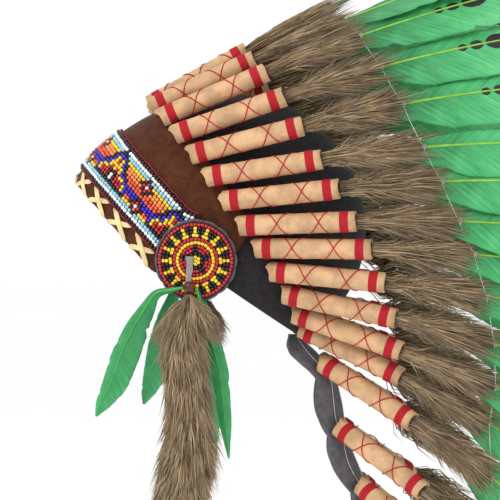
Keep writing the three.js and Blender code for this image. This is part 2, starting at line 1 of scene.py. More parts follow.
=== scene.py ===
"""Dresses a feathered headdress: a felt skull cap with a beaded brow, a ring of sleeved plumes,
a plume trailer at the nape, and a fur and feather drop under the rosette at each temple.
Shapes are worked out in millimetres: +Z up, +X to the back, -Y the wearer's left."""

import bpy
import numpy as np
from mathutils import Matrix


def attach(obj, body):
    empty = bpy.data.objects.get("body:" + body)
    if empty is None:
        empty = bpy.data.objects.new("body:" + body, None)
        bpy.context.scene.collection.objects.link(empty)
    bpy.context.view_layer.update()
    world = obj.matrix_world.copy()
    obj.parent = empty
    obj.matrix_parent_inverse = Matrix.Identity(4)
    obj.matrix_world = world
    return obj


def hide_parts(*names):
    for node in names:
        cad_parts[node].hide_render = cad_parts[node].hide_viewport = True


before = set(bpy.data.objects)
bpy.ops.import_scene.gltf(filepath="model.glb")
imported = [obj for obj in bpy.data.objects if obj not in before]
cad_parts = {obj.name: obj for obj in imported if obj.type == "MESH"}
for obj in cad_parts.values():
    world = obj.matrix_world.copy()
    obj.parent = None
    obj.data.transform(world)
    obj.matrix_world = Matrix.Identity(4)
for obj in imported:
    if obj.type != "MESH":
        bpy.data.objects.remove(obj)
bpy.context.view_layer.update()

bl_info = {
    "name": "Feathered Headdress",
    "version": (1, 0, 0),
    "blender": (4, 5, 0),
    "location": "3D View > Sidebar > Headdress",
    "description": "Builds the felt, beadwork, plumes and drops of a feathered headdress",
    "category": "Object",
}

MM = 0.001
GAP, LAYER_GAP = 0.3, 0.6  # between pieces that meet, and between layers on the cap
SIDES = (("left", -1), ("right", 1))

# The head form, in its own frame: x back along the rim, z from the rim's plane.
HEAD_TILT = np.radians(34.5)
BROW_REACH, NAPE_REACH = 130, 122
CAP_WIDTH, CAP_HEIGHT, FELT_WALL = 160, 162, 2.4
SHOULDER, BROW_SHOULDER = 50, 15
BROW_SLOPE, DOME_CURVE = 1.6, 2
BROW_TUCK, SIDE_TUCK, NAPE_TUCK = 0.015, 0.037, 0.14
TEMPLE_DIP, TEMPLE_PLACE, TEMPLE_RISE = 24, 97, 50
HEAD_MIDDLE = BROW_REACH * (1 - BROW_TUCK)

SUEDE_WALL = 1.5
PANEL_END, PANEL_OVER_RING = np.radians(100), 9
PANEL_OUT = LAYER_GAP + SUEDE_WALL
BAND_ROWS, BAND_PITCH, BAND_ABOVE_RIM, BAND_END = 15, 3.05, 14, np.radians(80)
BAND_HEIGHT, BAND_OUT = BAND_ROWS * BAND_PITCH, PANEL_OUT + LAYER_GAP
BAND_BEAD_HALF, BEAD_PITCH, BEAD_RISE = 0.46 * BAND_PITCH, 3.4, 1.5
EDGE_OUT = 0.9  # of the band's edge threads beyond its outer rows
LACE_WIDTH, LACE_THICKNESS, LACE_INSET, LACE_PITCH = 4.4, 1.0, 0.9, 29.5
CROSS_LEAN, CROSSES_PER_SIDE = 9.5, 4

# One lace of a cross, from inside the rim and up over its edge: share of the way from foot to
# head, height above the rim, inside (0) or outside (1), how far out from there, and 1 where the
# upper lace lifts over the lower.
LACE_KNOTS = (
    (0, 3.4, 0, 0, 0), (0, 1.2, 0, 0, 0), (0, -0.9, 0, 1, 0), (0, -1.1, 1, -1.6, 0),
    (0, 0.4, 1, 0.5, 0), (0.25, 3.4, 1, 0.35, 1), (0.5, 6.4, 1, 0.1, 1), (0.8, 9.6, 1, 0, 0),
    (1, 12.6, 1, -0.35, 0), (1, 13.2, 1, -1.6, 0),
)

ROSETTE_RADIUS, ROSETTE_THICKNESS = 31.6, 3.0
ROSETTE_TURN, ROSETTE_HEIGHT = np.radians(88.5), 5
ROSETTE_DOME, ROSETTE_BEAD_HALF, ROSETTE_BEAD_RADIUS = 0.6, 1.45, 1.5
BACKING_MARGIN, BACKING_THICKNESS, SCALLOPS, SCALLOP_DEPTH = 3.2, 1.6, 16, 1.1

RING_FRONT, RING_TILT, RING_BOW, RING_ROUNDS = 89, np.radians(21.5), 8, 20
SLEEVE_LENGTH, SLEEVE_RADIUS, PLUG_RADIUS = 97, 8.5, 5.2
HIDE_TURNS, HIDE_WALL, HIDE_STEP = 2.1, 1.15, 1.45
BINDING_INSET, BINDING_WIDTH, BINDING_RIDGES = 5.2, 8.0, 7
LOCK_LENGTH, LOCK_WIDTH, LOCK_THICKNESS, LOCK_CORE = 92, 23, 11, 0.37
FEATHER_LENGTH, VANE_START = 300, 70
NARROW_VANE, WIDE_VANE, CENTRE_VANE = 15, 32, 20
PLUME_SAG, PLUME_BOW, SHINGLE_ROLL = 34, 14, np.radians(10)
TIE_PLACE, TIE_COIL, TIE_SLACK = SLEEVE_LENGTH + 86, 2.1, 1.5

TRAILER_LENGTH, TRAILER_RADIUS, TRAILER_HALF_ANGLE = 225, 35, np.radians(72)
SCALLOP_PITCH, TRAILER_SCALLOP, TRAILER_TAPER = 52.5, 9, 0.35
TRAILER_TUCK, TUCKED_SHARE = 26, 0.55  # how far down its top is drawn in, and to what share

FUR_LENGTH, FUR_WIDTH, FUR_THICKNESS, FUR_CORE = 205, 48, 20, 0.6
TUFT_LENGTH, TUFT_LEAN, TUFT_RISE = 40, 22, 2.7
THONG_WIDTH, THONG_THICKNESS = 6.4, 1.6
TIE_BEAD_RADIUS = 5.2
FAR_SIDE_DRAW = 0.55
DROP_TOP = -TIE_BEAD_RADIUS - GAP

# The floor lies under the longest feather. The picture's half is 250 dots of 0.88 mm.
FLOOR_RADIUS, FLOOR_HEIGHT = 40, -0.78
HALF_PICTURE, PICTURE_MIDDLE = 0.22, (-0.045, -0.1172)

# Half of the ring of plumes from the brow to the nape: rise, flare and face in degrees.
CROWN_PLUMES = np.array([
    (59.2, 3, 36), (57.4, 4, 60), (53.2, 5, 73), (48.6, 6, 79), (43, 7, 83), (40.4, 8, 86),
    (36.5, 9, 88), (33.8, 10, 90), (29, 11.5, 90), (22.5, 13, 90), (15.8, 15, 90), (9, 17.5, 90),
])
CENTRE_PLUME = (63.5, 0, 0)
TRAILER_PLUMES = np.array([(-32.5, 26, 90), (-36, 29, 90), (-42, 31, 90), (-48, 33, 90)])

# Tables of share along, then shares of the full width on each side or of the width and depth.
VANE_SHAPE = np.array([(0, 0.3), (0.2, 0.88), (0.5, 1), (0.85, 0.86), (0.95, 0.55), (1, 0.1)])
LOCK_SHAPE = np.array([(-0.03, 0.6, 0.95), (0.22, 0.96, 1), (0.62, 1, 0.8), (1, 0.16, 0.16)])
FUR_SHAPE = np.array([
    (0, 0, 0.14, 0.3), (0.06, -0.01, 0.3, 0.42), (0.2, -0.035, 0.82, 0.9), (0.34, -0.01, 0.76, 0.9),
    (0.5, 0, 0.74, 0.95), (0.68, -0.012, 0.88, 1), (0.86, -0.03, 1, 1), (1, -0.045, 0.4, 0.4),
])

# Down, back and in along a tied feather, then its reach fore and aft, in shares of its size.
DROP_FEATHERS = {
    "fore": (130, 24, -1, np.array([
        (0, 0, 0, 0.04, 0.04), (0.03, -0.18, 0.01, 0.12, 0.2), (0.25, -0.32, 0.08, 0.28, 0.56),
        (0.44, -0.41, 0.1, 0.32, 0.68), (0.62, -0.47, 0.11, 0.3, 0.6),
        (0.76, -0.54, 0.11, 0.18, 0.34), (0.84, -0.57, 0.11, 0.03, 0.05),
    ])),
    "aft": (145, 15, 1, np.array([
        (0, 0.004, 0, 0.03, 0.06), (0.15, 0.04, 0.05, 0.24, 0.3), (0.31, 0.09, 0.09, 0.44, 0.52),
        (0.5, 0.14, 0.1, 0.48, 0.5), (0.8, 0.17, 0.11, 0.36, 0.36), (1, 0.19, 0.11, 0.05, 0.05),
    ])),
}

# Half a repeat of the band, row by row from its upper edge, from a valley to a peak of the zigzag.
# k black, w white, b light blue, y yellow, o orange, t red-orange, r red, n navy.
BAND_CHART = (
    "kkkkkkkkkkkk", "wwwwwwwwwwwk", "kbbbbbbbbbkk", "rkyyyyyyyknn", "wrkoooooknyr", "rkooooooknyr",
    "kttttttknyyy", "ttttttknnyry", "knnnnnnyyrkk", "rknnnnyrrrkw", "wrkttnyrrrkw", "tkyyykkkkkkk",
    "kbbbbbbbbbbb", "wwwwwwwwwwww", "kkkkkkkkkkkk",
)
HALF_REPEAT, FIRST_VALLEY = 11, 28  # beads; the valley's are from the middle of the brow

# Rings of a rosette from its middle: the letters of one repeat, the repeats, and a turn in beads
# that sets five star arms and sixteen points about the same lines.
ROSETTE_CHART = (
    ("y", 1, 0), ("y", 6, 0), ("k", 10, 0), ("kkrr", 5, -0.5), ("krrrr", 5, 0), ("y", 31, 0),
    ("r", 37, 0), ("yyk", 16, -0.5), ("ykk", 16, 0), ("ykk", 16, 0), ("r", 62, 0),
)

# Rings of a hair: share along it and share of its radius. It ends in a point.
HAIR_RINGS = ((0, 0.75), (0.5, 1))
HAIR_POINTS = 3 * len(HAIR_RINGS) + 1
TABLE_READINGS, TABLE_ROUNDS, LINE_ROUNDS = 81, 6, 3

# Black spots on a vane in units of 100 mm: place along the quill, half length and half width.
VANE_UNIT = 100
SPOTS = ((1.56, 0.04, 0.036), (1.68, 0.055, 0.046), (1.86, 0.105, 0.075), (2.4, 0.38, 0.2),
         (2.95, 0.3, 0.6))
BARBS_PER_UNIT, BARB_DRIFT, BARB_SLOPE = 62, 3.5, 1.15


def linear(hex_colour):
    """An sRGB hex colour as linear red, green and blue."""
    c = np.array([int(hex_colour[i:i + 2], 16) for i in (1, 3, 5)]) / 255
    return tuple(np.where(c <= 0.04045, c / 12.92, ((c + 0.055) / 1.055) ** 2.4))


def unit(v):
    """The same directions at length one."""
    return v / np.linalg.norm(v, axis=-1, keepdims=True)


def averaged(line, rounds):
    """The line after these rounds, in each of which every inner value becomes half of itself and
    a quarter of each neighbour."""
    for _ in range(rounds):
        line[1:-1] = (line[:-2] + 2 * line[1:-1] + line[2:]) / 4
    return line


def shaped(table, share, column):
    """A smooth reading of a table's column, from even readings along it that are averaged."""
    fine = np.linspace(table[0, 0], table[-1, 0], TABLE_READINGS)
    read = averaged(np.interp(fine, table[:, 0], table[:, column]), TABLE_ROUNDS)
    return np.interp(share, fine, read)


def smooth_line(knots, steps):
    """A line of even readings through a table of knots, averaged so that its corners are round."""
    knots = np.asarray(knots, float)
    read = np.linspace(0, len(knots) - 1, steps)
    line = np.stack([np.interp(read, np.arange(len(knots)), column) for column in knots.T], -1)
    return averaged(line, LINE_ROUNDS)


def run_along(line):
    """How far each point of a line is from its first, along it."""
    return np.append(0, np.cumsum(np.linalg.norm(np.diff(line, axis=0), axis=1)))


def circle(sides):
    """The corners of an even ring of radius one: cosine and sine of each turn."""
    turn = np.arange(sides) / sides * 2 * np.pi
    return np.stack([np.cos(turn), np.sin(turn)], -1)


def flat_form(width, thickness):
    """A rounded rectangle of twelve corners: the root of a cosine and the 0.7th power of a sine,
    each with its own sign, times the half sizes."""
    aside, up = circle(12).T
    return np.stack([np.sign(aside) * np.abs(aside) ** 0.5 * width / 2,
                     np.sign(up) * np.abs(up) ** 0.7 * thickness / 2], -1)


# ---- surfaces ----
def grid_faces(rows, columns, round_columns=False):
    """Four-sided faces over a grid of points that is listed row by row."""
    i = np.arange(rows - 1)[:, None]
    j = np.arange(columns if round_columns else columns - 1)[None, :]
    beside = (j + 1) % columns
    corners = [i * columns + j, i * columns + beside, (i + 1) * columns + beside,
               (i + 1) * columns + j]
    return np.stack(np.broadcast_arrays(*corners), -1).reshape(-1, 4)


def shell(outer, inner, round_columns=False, pole=False):
    """A closed wall between two grids of points. Its edges are strips between their borders, and
    a pole closes the last row of each grid with a fan to that row's mean."""
    rows, columns = outer.shape[:2]
    count = rows * columns
    points = np.concatenate([outer.reshape(-1, 3), inner.reshape(-1, 3)])
    skin = grid_faces(rows, columns, round_columns)
    quads = [skin, skin[:, ::-1] + count]
    j = np.arange(columns if round_columns else columns - 1)
    beside = (j + 1) % columns
    quads.append(np.stack([beside, j, j + count, beside + count], 1))
    top = (rows - 1) * columns
    triangles = []
    if pole:
        points = np.concatenate([points, [outer[-1].mean(0), inner[-1].mean(0)]])
        over, under = np.full(columns, 2 * count), np.full(columns, 2 * count + 1)
        triangles = [np.stack([top + j, top + beside, over], 1),
                     np.stack([top + count + beside, top + count + j, under], 1)]
    else:
        quads.append(np.stack([top + j, top + beside, top + beside + count, top + j + count], 1))
    if not round_columns:
        i = np.arange(rows - 1) * columns
        up = i + columns
        last = columns - 1
        quads.append(np.stack([i, up, up + count, i + count], 1))
        quads.append(np.stack([up + last, i + last, i + last + count, up + last + count], 1))
    return {"points": points, "faces": [np.concatenate(quads)] + triangles}


def lofted(rings, ends=None):
    """Rings of points joined in order. Each end is closed by a fan to the point given for it, or
    else to its ring's mean."""
    rows, sides = rings.shape[:2]
    ends = [rings[0].mean(0), rings[-1].mean(0)] if ends is None else ends
    k = np.arange(sides)
    beside = (k + 1) % sides
    last = (rows - 1) * sides
    fans = [np.stack([beside, k, np.full(sides, rows * sides)], 1),
            np.stack([last + k, last + beside, np.full(sides, rows * sides + 1)], 1)]
    return {"points": np.concatenate([rings.reshape(-1, 3), ends]),
            "faces": [grid_faces(rows, sides, True), np.concatenate(fans)]}


def carried(path, across, up, profile):
    """A closed profile carried along a path: point = path + across * p0 + up * p1."""
    rings = path[:, None] + across[:, None] * profile[..., :1] + up[:, None] * profile[..., 1:]
    return lofted(rings, [path[0], path[-1]])


def tube(path, radii, sides=8, upright=(0.13, 0.31, 0.94)):
    """A round skin of these radii along a path. Upright is a way that the path never takes."""
    way = unit(np.gradient(path, axis=0))
    across = unit(np.cross(way, upright))
    radii = np.broadcast_to(radii, len(path))
    return carried(path, across, np.cross(way, across), radii[:, None, None] * circle(sides))


def needles(roots, mids, tips, radius):
    """Three-sided hairs, each along the curve (1-s)^2 root + 2s(1-s) mid + s^2 tip."""
    way = unit(tips - roots)
    across = unit(np.cross(way, (0.31, 0.52, 0.79)))
    corner = circle(3)
    ring = corner[:, :1] * across[:, None] + corner[:, 1:] * np.cross(way, across)[:, None]
    rows, shares = [], []
    for s, share in HAIR_RINGS:
        centre = (1 - s) ** 2 * roots + 2 * s * (1 - s) * mids + s * s * tips
        rows.append(centre[:, None] + ring * (radius * share)[:, None, None])
        shares += [s] * 3
    points = np.concatenate(rows + [tips[:, None]], 1)
    first = np.arange(len(roots))[:, None, None] * HAIR_POINTS
    tip = HAIR_POINTS - 1
    closing = np.array([(tip - 3, tip - 2, tip), (tip - 2, tip - 1, tip),
                        (tip - 1, tip - 3, tip), (2, 1, 0)])
    quads = grid_faces(len(HAIR_RINGS), 3, True)[None] + first
    return {"points": points.reshape(-1, 3), "along": np.tile(shares + [1], len(roots)),
            "faces": [quads.reshape(-1, 4), (closing[None] + first).reshape(-1, 3)]}


def barrel(half_length, radius):
    """A seed bead: an eight-sided barrel about its first axis, with four rings of points."""
    along = np.array([-1, -0.55, 0.55, 1]) * half_length
    reach = np.array([0.62, 1, 1, 0.62]) * radius
    path = np.stack([along, 0 * along, 0 * along], -1)
    _, across, up = np.eye(3)[:, None]
    return carried(path, across, up, reach[:, None, None] * circle(8))


def second(part):
    """The part in the second of its piece's materials."""
    return {**part, "finish": 1}


def strewn(shape, places, axes, hues):
    """The same shape at many places: point = place + axes * corner. axes is (n, 3, 3), and its
    columns are where the shape's own three directions go."""
    corners = shape["points"]
    points = places[:, None] + np.einsum("nij,kj->nki", axes, corners)
    first = np.arange(len(places))[:, None, None] * len(corners)
    faces = [(f[None] + first).reshape(-1, f.shape[1]) for f in shape["faces"]]
    return {"points": points.reshape(-1, 3), "faces": faces,
            "hue": np.repeat(hues, len(corners), axis=0)}


def facing_out(part):
    """The part's faces, turned round if the volume that they hold is negative."""
    points = part["points"] - part["points"].mean(0)
    held = 0
    for faces in part["faces"]:
        a, b, c = (points[faces[:, k]] for k in (0, 1, 2))
        held += np.einsum("ij,ij->", a, np.cross(b, c))
        if faces.shape[1] == 4:
            held += np.einsum("ij,ij->", a, np.cross(c, points[faces[:, 3]]))
    return part["faces"] if held > 0 else [f[:, ::-1] for f in part["faces"]]


def piece(name, parts, materials, nodes=()):
    """One named piece from its parts, in place on the root body."""
    mesh = bpy.data.meshes.new(name)
    loops, sizes, finishes, first = [], [], [], 0
    for part in parts:
        for faces in facing_out(part):
            loops.append((faces + first).ravel())
            sizes.append(np.full(len(faces), faces.shape[1]))
            finishes.append(np.full(len(faces), part.get("finish", 0)))
        first += len(part["points"])
    loops, sizes = np.concatenate(loops).astype(np.int32), np.concatenate(sizes)
    mesh.vertices.add(first)
    points = np.concatenate([part["points"] for part in parts]) * MM
    mesh.vertices.foreach_set("co", points.astype(np.float32).ravel())
    mesh.loops.add(len(loops))
    mesh.loops.foreach_set("vertex_index", loops)
    mesh.polygons.add(len(sizes))
    mesh.polygons.foreach_set("loop_start", (np.cumsum(sizes) - sizes).astype(np.int32))
    mesh.polygons.foreach_set("material_index", np.concatenate(finishes).astype(np.int32))
    mesh.polygons.foreach_set("use_smooth", np.ones(len(sizes), bool))
    mesh.update(calc_edges=True)
    for kind, wide in (("tone", 1), ("hue", 3), ("barbs", 2)):
        if not any(kind in part for part in parts):
            continue
        values = np.concatenate([
            np.asarray(part.get(kind, np.zeros((len(part["points"]), wide))), float)
            .reshape(-1, wide) for part in parts])
        if kind == "barbs":
            layer = mesh.uv_layers.new(name=kind)
            layer.uv.foreach_set("vector", values[loops].astype(np.float32).ravel())
        elif kind == "hue":
            layer = mesh.color_attributes.new(name=kind, type="FLOAT_COLOR", domain="POINT")
            full = np.concatenate([values, np.ones((len(values), 1))], 1)
            layer.data.foreach_set("color", full.astype(np.float32).ravel())
        else:
            layer = mesh.attributes.new(name=kind, type="FLOAT", domain="POINT")
            layer.data.foreach_set("value", values.astype(np.float32).ravel())
    for material in materials:
        mesh.materials.append(material)
    made = bpy.data.objects.new(name, mesh)
    bpy.context.scene.collection.objects.link(made)
    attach(made, "root")
    if nodes:
        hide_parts(*nodes)
    return made


# ---- the head form ----
def head_point(turn, height, out=0.0):
    """The head form grown by out: an oval of two half reaches, upright to its shoulder and domed
    above it, drawn in a little towards the rim. Turn 0 is the brow and a quarter turn the left."""
    turn, height, out = np.broadcast_arrays(turn, height, out)
    ahead, aside = np.cos(turn), np.sin(turn)
    front = np.maximum(ahead, 0) ** 2
    shoulder = SHOULDER - (SHOULDER - BROW_SHOULDER) * front
    climb = np.clip((height - shoulder) / (CAP_HEIGHT + out - shoulder), 0, 1)
    dome = np.sqrt(1 - climb ** (DOME_CURVE - (DOME_CURVE - BROW_SLOPE) * front))
    low = np.maximum(0, 1 - height / shoulder)
    end_tuck = np.where(ahead > 0, BROW_TUCK, NAPE_TUCK)
    tuck = 1 - (end_tuck * ahead ** 2 + SIDE_TUCK * aside ** 2) * low ** 2
    reach = np.where(ahead > 0, BROW_REACH, NAPE_REACH)
    return np.stack([HEAD_MIDDLE - (reach * tuck + out) * dome * ahead,
                     -(CAP_WIDTH / 2 * tuck + out) * dome * aside, height], -1)


def head_axes(turn, height, out):
    """Directions round, up and out of the head form, from the differences across a point."""
    around = unit(head_point(turn + 0.01, height, out) - head_point(turn - 0.01, height, out))
    up = unit(head_point(turn, height + 0.5, out) - head_point(turn, height - 0.5, out))
    return around, up, unit(np.cross(around, up))


def rim_height(turn):
    """The rim is level, except where it hangs down in front of each ear."""
    back = head_point(turn, 0.0)[..., 0]
    behind = np.clip((back - TEMPLE_PLACE) / TEMPLE_RISE, 0, 1)
    share = np.where(back < TEMPLE_PLACE, back / TEMPLE_PLACE, 0.5 + 0.5 * np.cos(np.pi * behind))
    return -TEMPLE_DIP * share


def ring_height(turn):
    """Where the plumes' inner ends ring the cap: a tilted plane that bows up over each ear. The
    fall depends on the place and the place on the height, so it is put in again and again."""
    front = head_point(0.0, RING_FRONT)[0]
    height = RING_FRONT + 0.0 * turn
    for _ in range(RING_ROUNDS):
        fall = np.tan(RING_TILT) * (head_point(turn, height)[..., 0] - front)
        height = RING_FRONT + RING_BOW * np.sin(turn) ** 2 - fall
    return height


def panel_top(turn):
    """The upper edge of the suede."""
    return ring_height(turn) + PANEL_OVER_RING


def even_turns(height_at, lengths):
    """The turns at these lengths along a line round the cap, from the middle of the brow."""
    turns = np.linspace(0, np.pi, 721)
    return np.interp(lengths, run_along(head_point(turns, height_at(turns))), turns)


def turned(v):
    """A direction turned about Y by the cap's lean."""
    c, s = np.cos(HEAD_TILT), np.sin(HEAD_TILT)
    return np.stack([c * v[..., 0] + s * v[..., 2], v[..., 1], c * v[..., 2] - s * v[..., 0]], -1)


def tilted(points):
    """From the head form's own frame to the row's: turned about Y, with the crown at the origin."""
    return turned(points - np.array([HEAD_MIDDLE, 0, CAP_HEIGHT - FELT_WALL]))


def node_points(node):
    """The corners of a packed node, in millimetres, each once."""
    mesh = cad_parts[node].data
    corners = np.zeros(len(mesh.vertices) * 3, np.float32)
    mesh.vertices.foreach_get("co", corners)
    return np.unique(np.round(corners.reshape(-1, 3).astype(float) / MM, 2), axis=0)


def seed_of(name):
    """A number that is always the same for a name."""
    return sum((k + 1) * ord(letter) for k, letter in enumerate(name))


# ---- materials ----
TIMES_PLUS = {"operation": "MULTIPLY_ADD"}
MIX_FIRST, MIX_SECOND, MIX_COLOUR = 6, 7, 2  # a Mix node's sockets for colours


def tones(colour, *shares):
    """The colour times each share, such as for the dark and the light end of a ramp."""
    return [tuple(c * k for c in colour) for k in shares]


def add(tree, kind, settings=None, inputs=None):
    """Adds one node with its settings, a ramp's stops among them, and what its sockets take."""
    made = tree.nodes.new(kind)
    for name, value in (settings or {}).items():
        if name != "stops":
            setattr(made, name, value)
            continue
        stops = made.color_ramp.elements
        for k, (place, colour) in enumerate(value):
            stop = stops[k] if k < len(stops) else stops.new(place)
            stop.position = place
            stop.color = (*colour, 1)
    for name, value in (inputs or {}).items():
        if isinstance(value, bpy.types.NodeSocket):
            tree.links.new(value, made.inputs[name])
        elif value is not None:
            socket = made.inputs[name]
            wide = hasattr(value, "__len__") and len(value) == 3 and len(socket.default_value) == 4
            socket.default_value = (*value, 1) if wide else value
    return made


def finished(name, build, **sockets):
    """A material of one shader. build(tree) gives the sockets that nodes feed, and the rest are
    plain numbers, with _ for a space in a socket's name."""
    if name in bpy.data.materials:
        return bpy.data.materials[name]
    material = bpy.data.materials.new(name)
    material.use_nodes = True
    tree = material.node_tree
    tree.nodes.clear()
    inputs = {key.replace("_", " "): value for key, value in sockets.items()}
    inputs.update(build(tree))
    shader = add(tree, "ShaderNodeBsdfPrincipled", None, inputs)
    add(tree, "ShaderNodeOutputMaterial", None, {"Surface": shader.outputs["BSDF"]})
    return material


def felt(name, colour):
    """Pressed wool felt: dull, with a mottle of some 6 mm and a fuzz of fibres about 0.7 mm."""
    def build(tree):
        place = add(tree, "ShaderNodeTexCoord").outputs["Object"]
        mottle = add(tree, "ShaderNodeTexNoise", None,
                     {"Vector": place, "Scale": 160, "Detail": 5, "Roughness": 0.65})
        fuzz = add(tree, "ShaderNodeTexNoise", None,
                   {"Vector": place, "Scale": 1400, "Detail": 3, "Distortion": 1.5})
        both = add(tree, "ShaderNodeMath", TIMES_PLUS,
                   {0: fuzz.outputs["Fac"], 1: 0.6, 2: mottle.outputs["Fac"]})
        dark, light = tones(colour, 0.62, 1.5)
        shade = add(tree, "ShaderNodeValToRGB", {"stops": [(0.55, dark), (1, light)]},
                    {"Fac": both.outputs[0]})
        bump = add(tree, "ShaderNodeBump", None,
                   {"Strength": 0.55, "Distance": 0.0006, "Height": both.outputs[0]})
        return {"Base Color": shade.outputs["Color"], "Normal": bump.outputs["Normal"]}
    return finished(name, build, Roughness=0.96, Sheen_Weight=0.1, Sheen_Roughness=0.5,
                    Specular_IOR_Level=0.2)


def suede(name, colour):
    """Brushed cowhide suede: patches of nap some 13 mm wide lie light or dark over a grain of
    0.6 mm."""
    def build(tree):
        place = add(tree, "ShaderNodeTexCoord").outputs["Object"]
        nap = add(tree, "ShaderNodeTexNoise", None,
                  {"Vector": place, "Scale": 75, "Detail": 8, "Roughness": 0.75, "Distortion": 0.8})
        grain = add(tree, "ShaderNodeTexNoise", None, {"Vector": place, "Scale": 1700, "Detail": 2})
        both = add(tree, "ShaderNodeMath", TIMES_PLUS,
                   {0: grain.outputs["Fac"], 1: 0.35, 2: nap.outputs["Fac"]})
        dark, light = tones(colour, 0.45, 1.5)
        shade = add(tree, "ShaderNodeValToRGB", {"stops": [(0.45, dark), (0.9, light)]},
                    {"Fac": both.outputs[0]})
        bump = add(tree, "ShaderNodeBump", None,
                   {"Strength": 0.35, "Distance": 0.0004, "Height": grain.outputs["Fac"]})
        return {"Base Color": shade.outputs["Color"], "Normal": bump.outputs["Normal"]}
    return finished(name, build, Roughness=0.93, Sheen_Weight=0.12, Sheen_Roughness=0.4,
                    Specular_IOR_Level=0.2)


def smooth_hide(name, colour, crease):
    """Drum-dyed garment leather: a soft cloudy tone, creases about 2.4 mm apart, pores of 1.1 mm
    and a low sheen."""
    def build(tree):
        place = add(tree, "ShaderNodeTexCoord").outputs["Object"]
        cloud = add(tree, "ShaderNodeTexNoise", None,
                    {"Vector": place, "Scale": 70, "Detail": 5, "Roughness": 0.6})
        cells = add(tree, "ShaderNodeTexVoronoi", {"feature": "DISTANCE_TO_EDGE"},
                    {"Vector": place, "Scale": 420})
        pores = add(tree, "ShaderNodeTexNoise", None, {"Vector": place, "Scale": 900, "Detail": 3})
        rise = add(tree, "ShaderNodeMath", TIMES_PLUS,
                   {0: cells.outputs["Distance"], 1: 0.6, 2: pores.outputs["Fac"]})
        dark, light = tones(colour, 0.72, 1.1)
        shade = add(tree, "ShaderNodeValToRGB", {"stops": [(0.34, dark), (0.62, light)]},
                    {"Fac": cloud.outputs["Fac"]})
        bump = add(tree, "ShaderNodeBump", None,
                   {"Strength": crease, "Distance": 0.0005, "Height": rise.outputs[0]})
        return {"Base Color": shade.outputs["Color"], "Normal": bump.outputs["Normal"]}
    return finished(name, build, Roughness=0.62, Specular_IOR_Level=0.35)


def thread(name, colour):
    """Twisted cotton thread: strands 0.5 mm apart, drawn at 1.1 mm so that they show. The colour
    is darkened in the grooves between them as painted shade.
    """
    def build(tree):
        place = add(tree, "ShaderNodeTexCoord").outputs["Object"]
        twist = add(tree, "ShaderNodeTexWave", {"bands_direction": "DIAGONAL"},
                    {"Vector": place, "Scale": 320, "Distortion": 1.2})
        # The ramp follows the bump's waves: painted shade in the grooves between strands.
        dark, light = tones(colour, 0.6, 1.08)
        shade = add(tree, "ShaderNodeValToRGB", {"stops": [(0.1, dark), (0.7, light)]},
                    {"Fac": twist.outputs["Fac"]})
        bump = add(tree, "ShaderNodeBump", None,
                   {"Strength": 0.4, "Distance": 0.0003, "Height": twist.outputs["Fac"]})
        return {"Base Color": shade.outputs["Color"], "Normal": bump.outputs["Normal"]}
    return finished(name, build, Roughness=0.75, Specular_IOR_Level=0.3)


def seed_glass():
    """Opaque glass seed beads: the colour is in the glass, under a hard glossy skin."""
    def build(tree):
        hue = add(tree, "ShaderNodeVertexColor", {"layer_name": "hue"})
        place = add(tree, "ShaderNodeTexCoord").outputs["Object"]
        batch = add(tree, "ShaderNodeTexNoise", None, {"Vector": place, "Scale": 500, "Detail": 1})
        lift = add(tree, "ShaderNodeMapRange", None,
                   {"Value": batch.outputs["Fac"], "From Min": 0.3, "From Max": 0.7,
                    "To Min": 0.75, "To Max": 1.15})
        shade = add(tree, "ShaderNodeVectorMath", {"operation": "SCALE"},
                    {"Vector": hue.outputs["Color"], "Scale": lift.outputs["Result"]})
        return {"Base Color": shade.outputs["Vector"]}
    return finished("opaque_seed_bead_glass", build, Roughness=0.16, IOR=1.52)


def dark_bead():
    """Red-brown pressed glass, nearly black where it is thick, with a polished skin."""
    def build(tree):
        place = add(tree, "ShaderNodeTexCoord").outputs["Object"]
        swirl = add(tree, "ShaderNodeTexNoise", None,
                    {"Vector": place, "Scale": 180, "Detail": 3, "Distortion": 2})
        shade = add(tree, "ShaderNodeValToRGB",
                    {"stops": [(0.35, linear("#2a0c08")), (0.7, linear("#7a2c1c"))]},
                    {"Fac": swirl.outputs["Fac"]})
        return {"Base Color": shade.outputs["Color"]}
    return finished("pressed_red_brown_glass", build, Roughness=0.08, IOR=1.52)


def fur(name, colours):
    """Rabbit or marten guard hair: each hair runs from a dark root to a lighter, warmer end."""
    def build(tree):
        tone = add(tree, "ShaderNodeAttribute", {"attribute_name": "tone"})
        place = add(tree, "ShaderNodeTexCoord").outputs["Object"]
        patch = add(tree, "ShaderNodeTexNoise", None, {"Vector": place, "Scale": 60, "Detail": 3})
        both = add(tree, "ShaderNodeMath", TIMES_PLUS,
                   {0: patch.outputs["Fac"], 1: 0.5, 2: tone.outputs["Fac"]})
        stops = list(zip((0.22, 0.5, 0.78, 1.0), colours))
        shade = add(tree, "ShaderNodeValToRGB", {"stops": stops}, {"Fac": both.outputs[0]})
        return {"Base Color": shade.outputs["Color"]}
    return finished(name, build, Roughness=0.62, Sheen_Weight=0.15, Specular_IOR_Level=0.3)


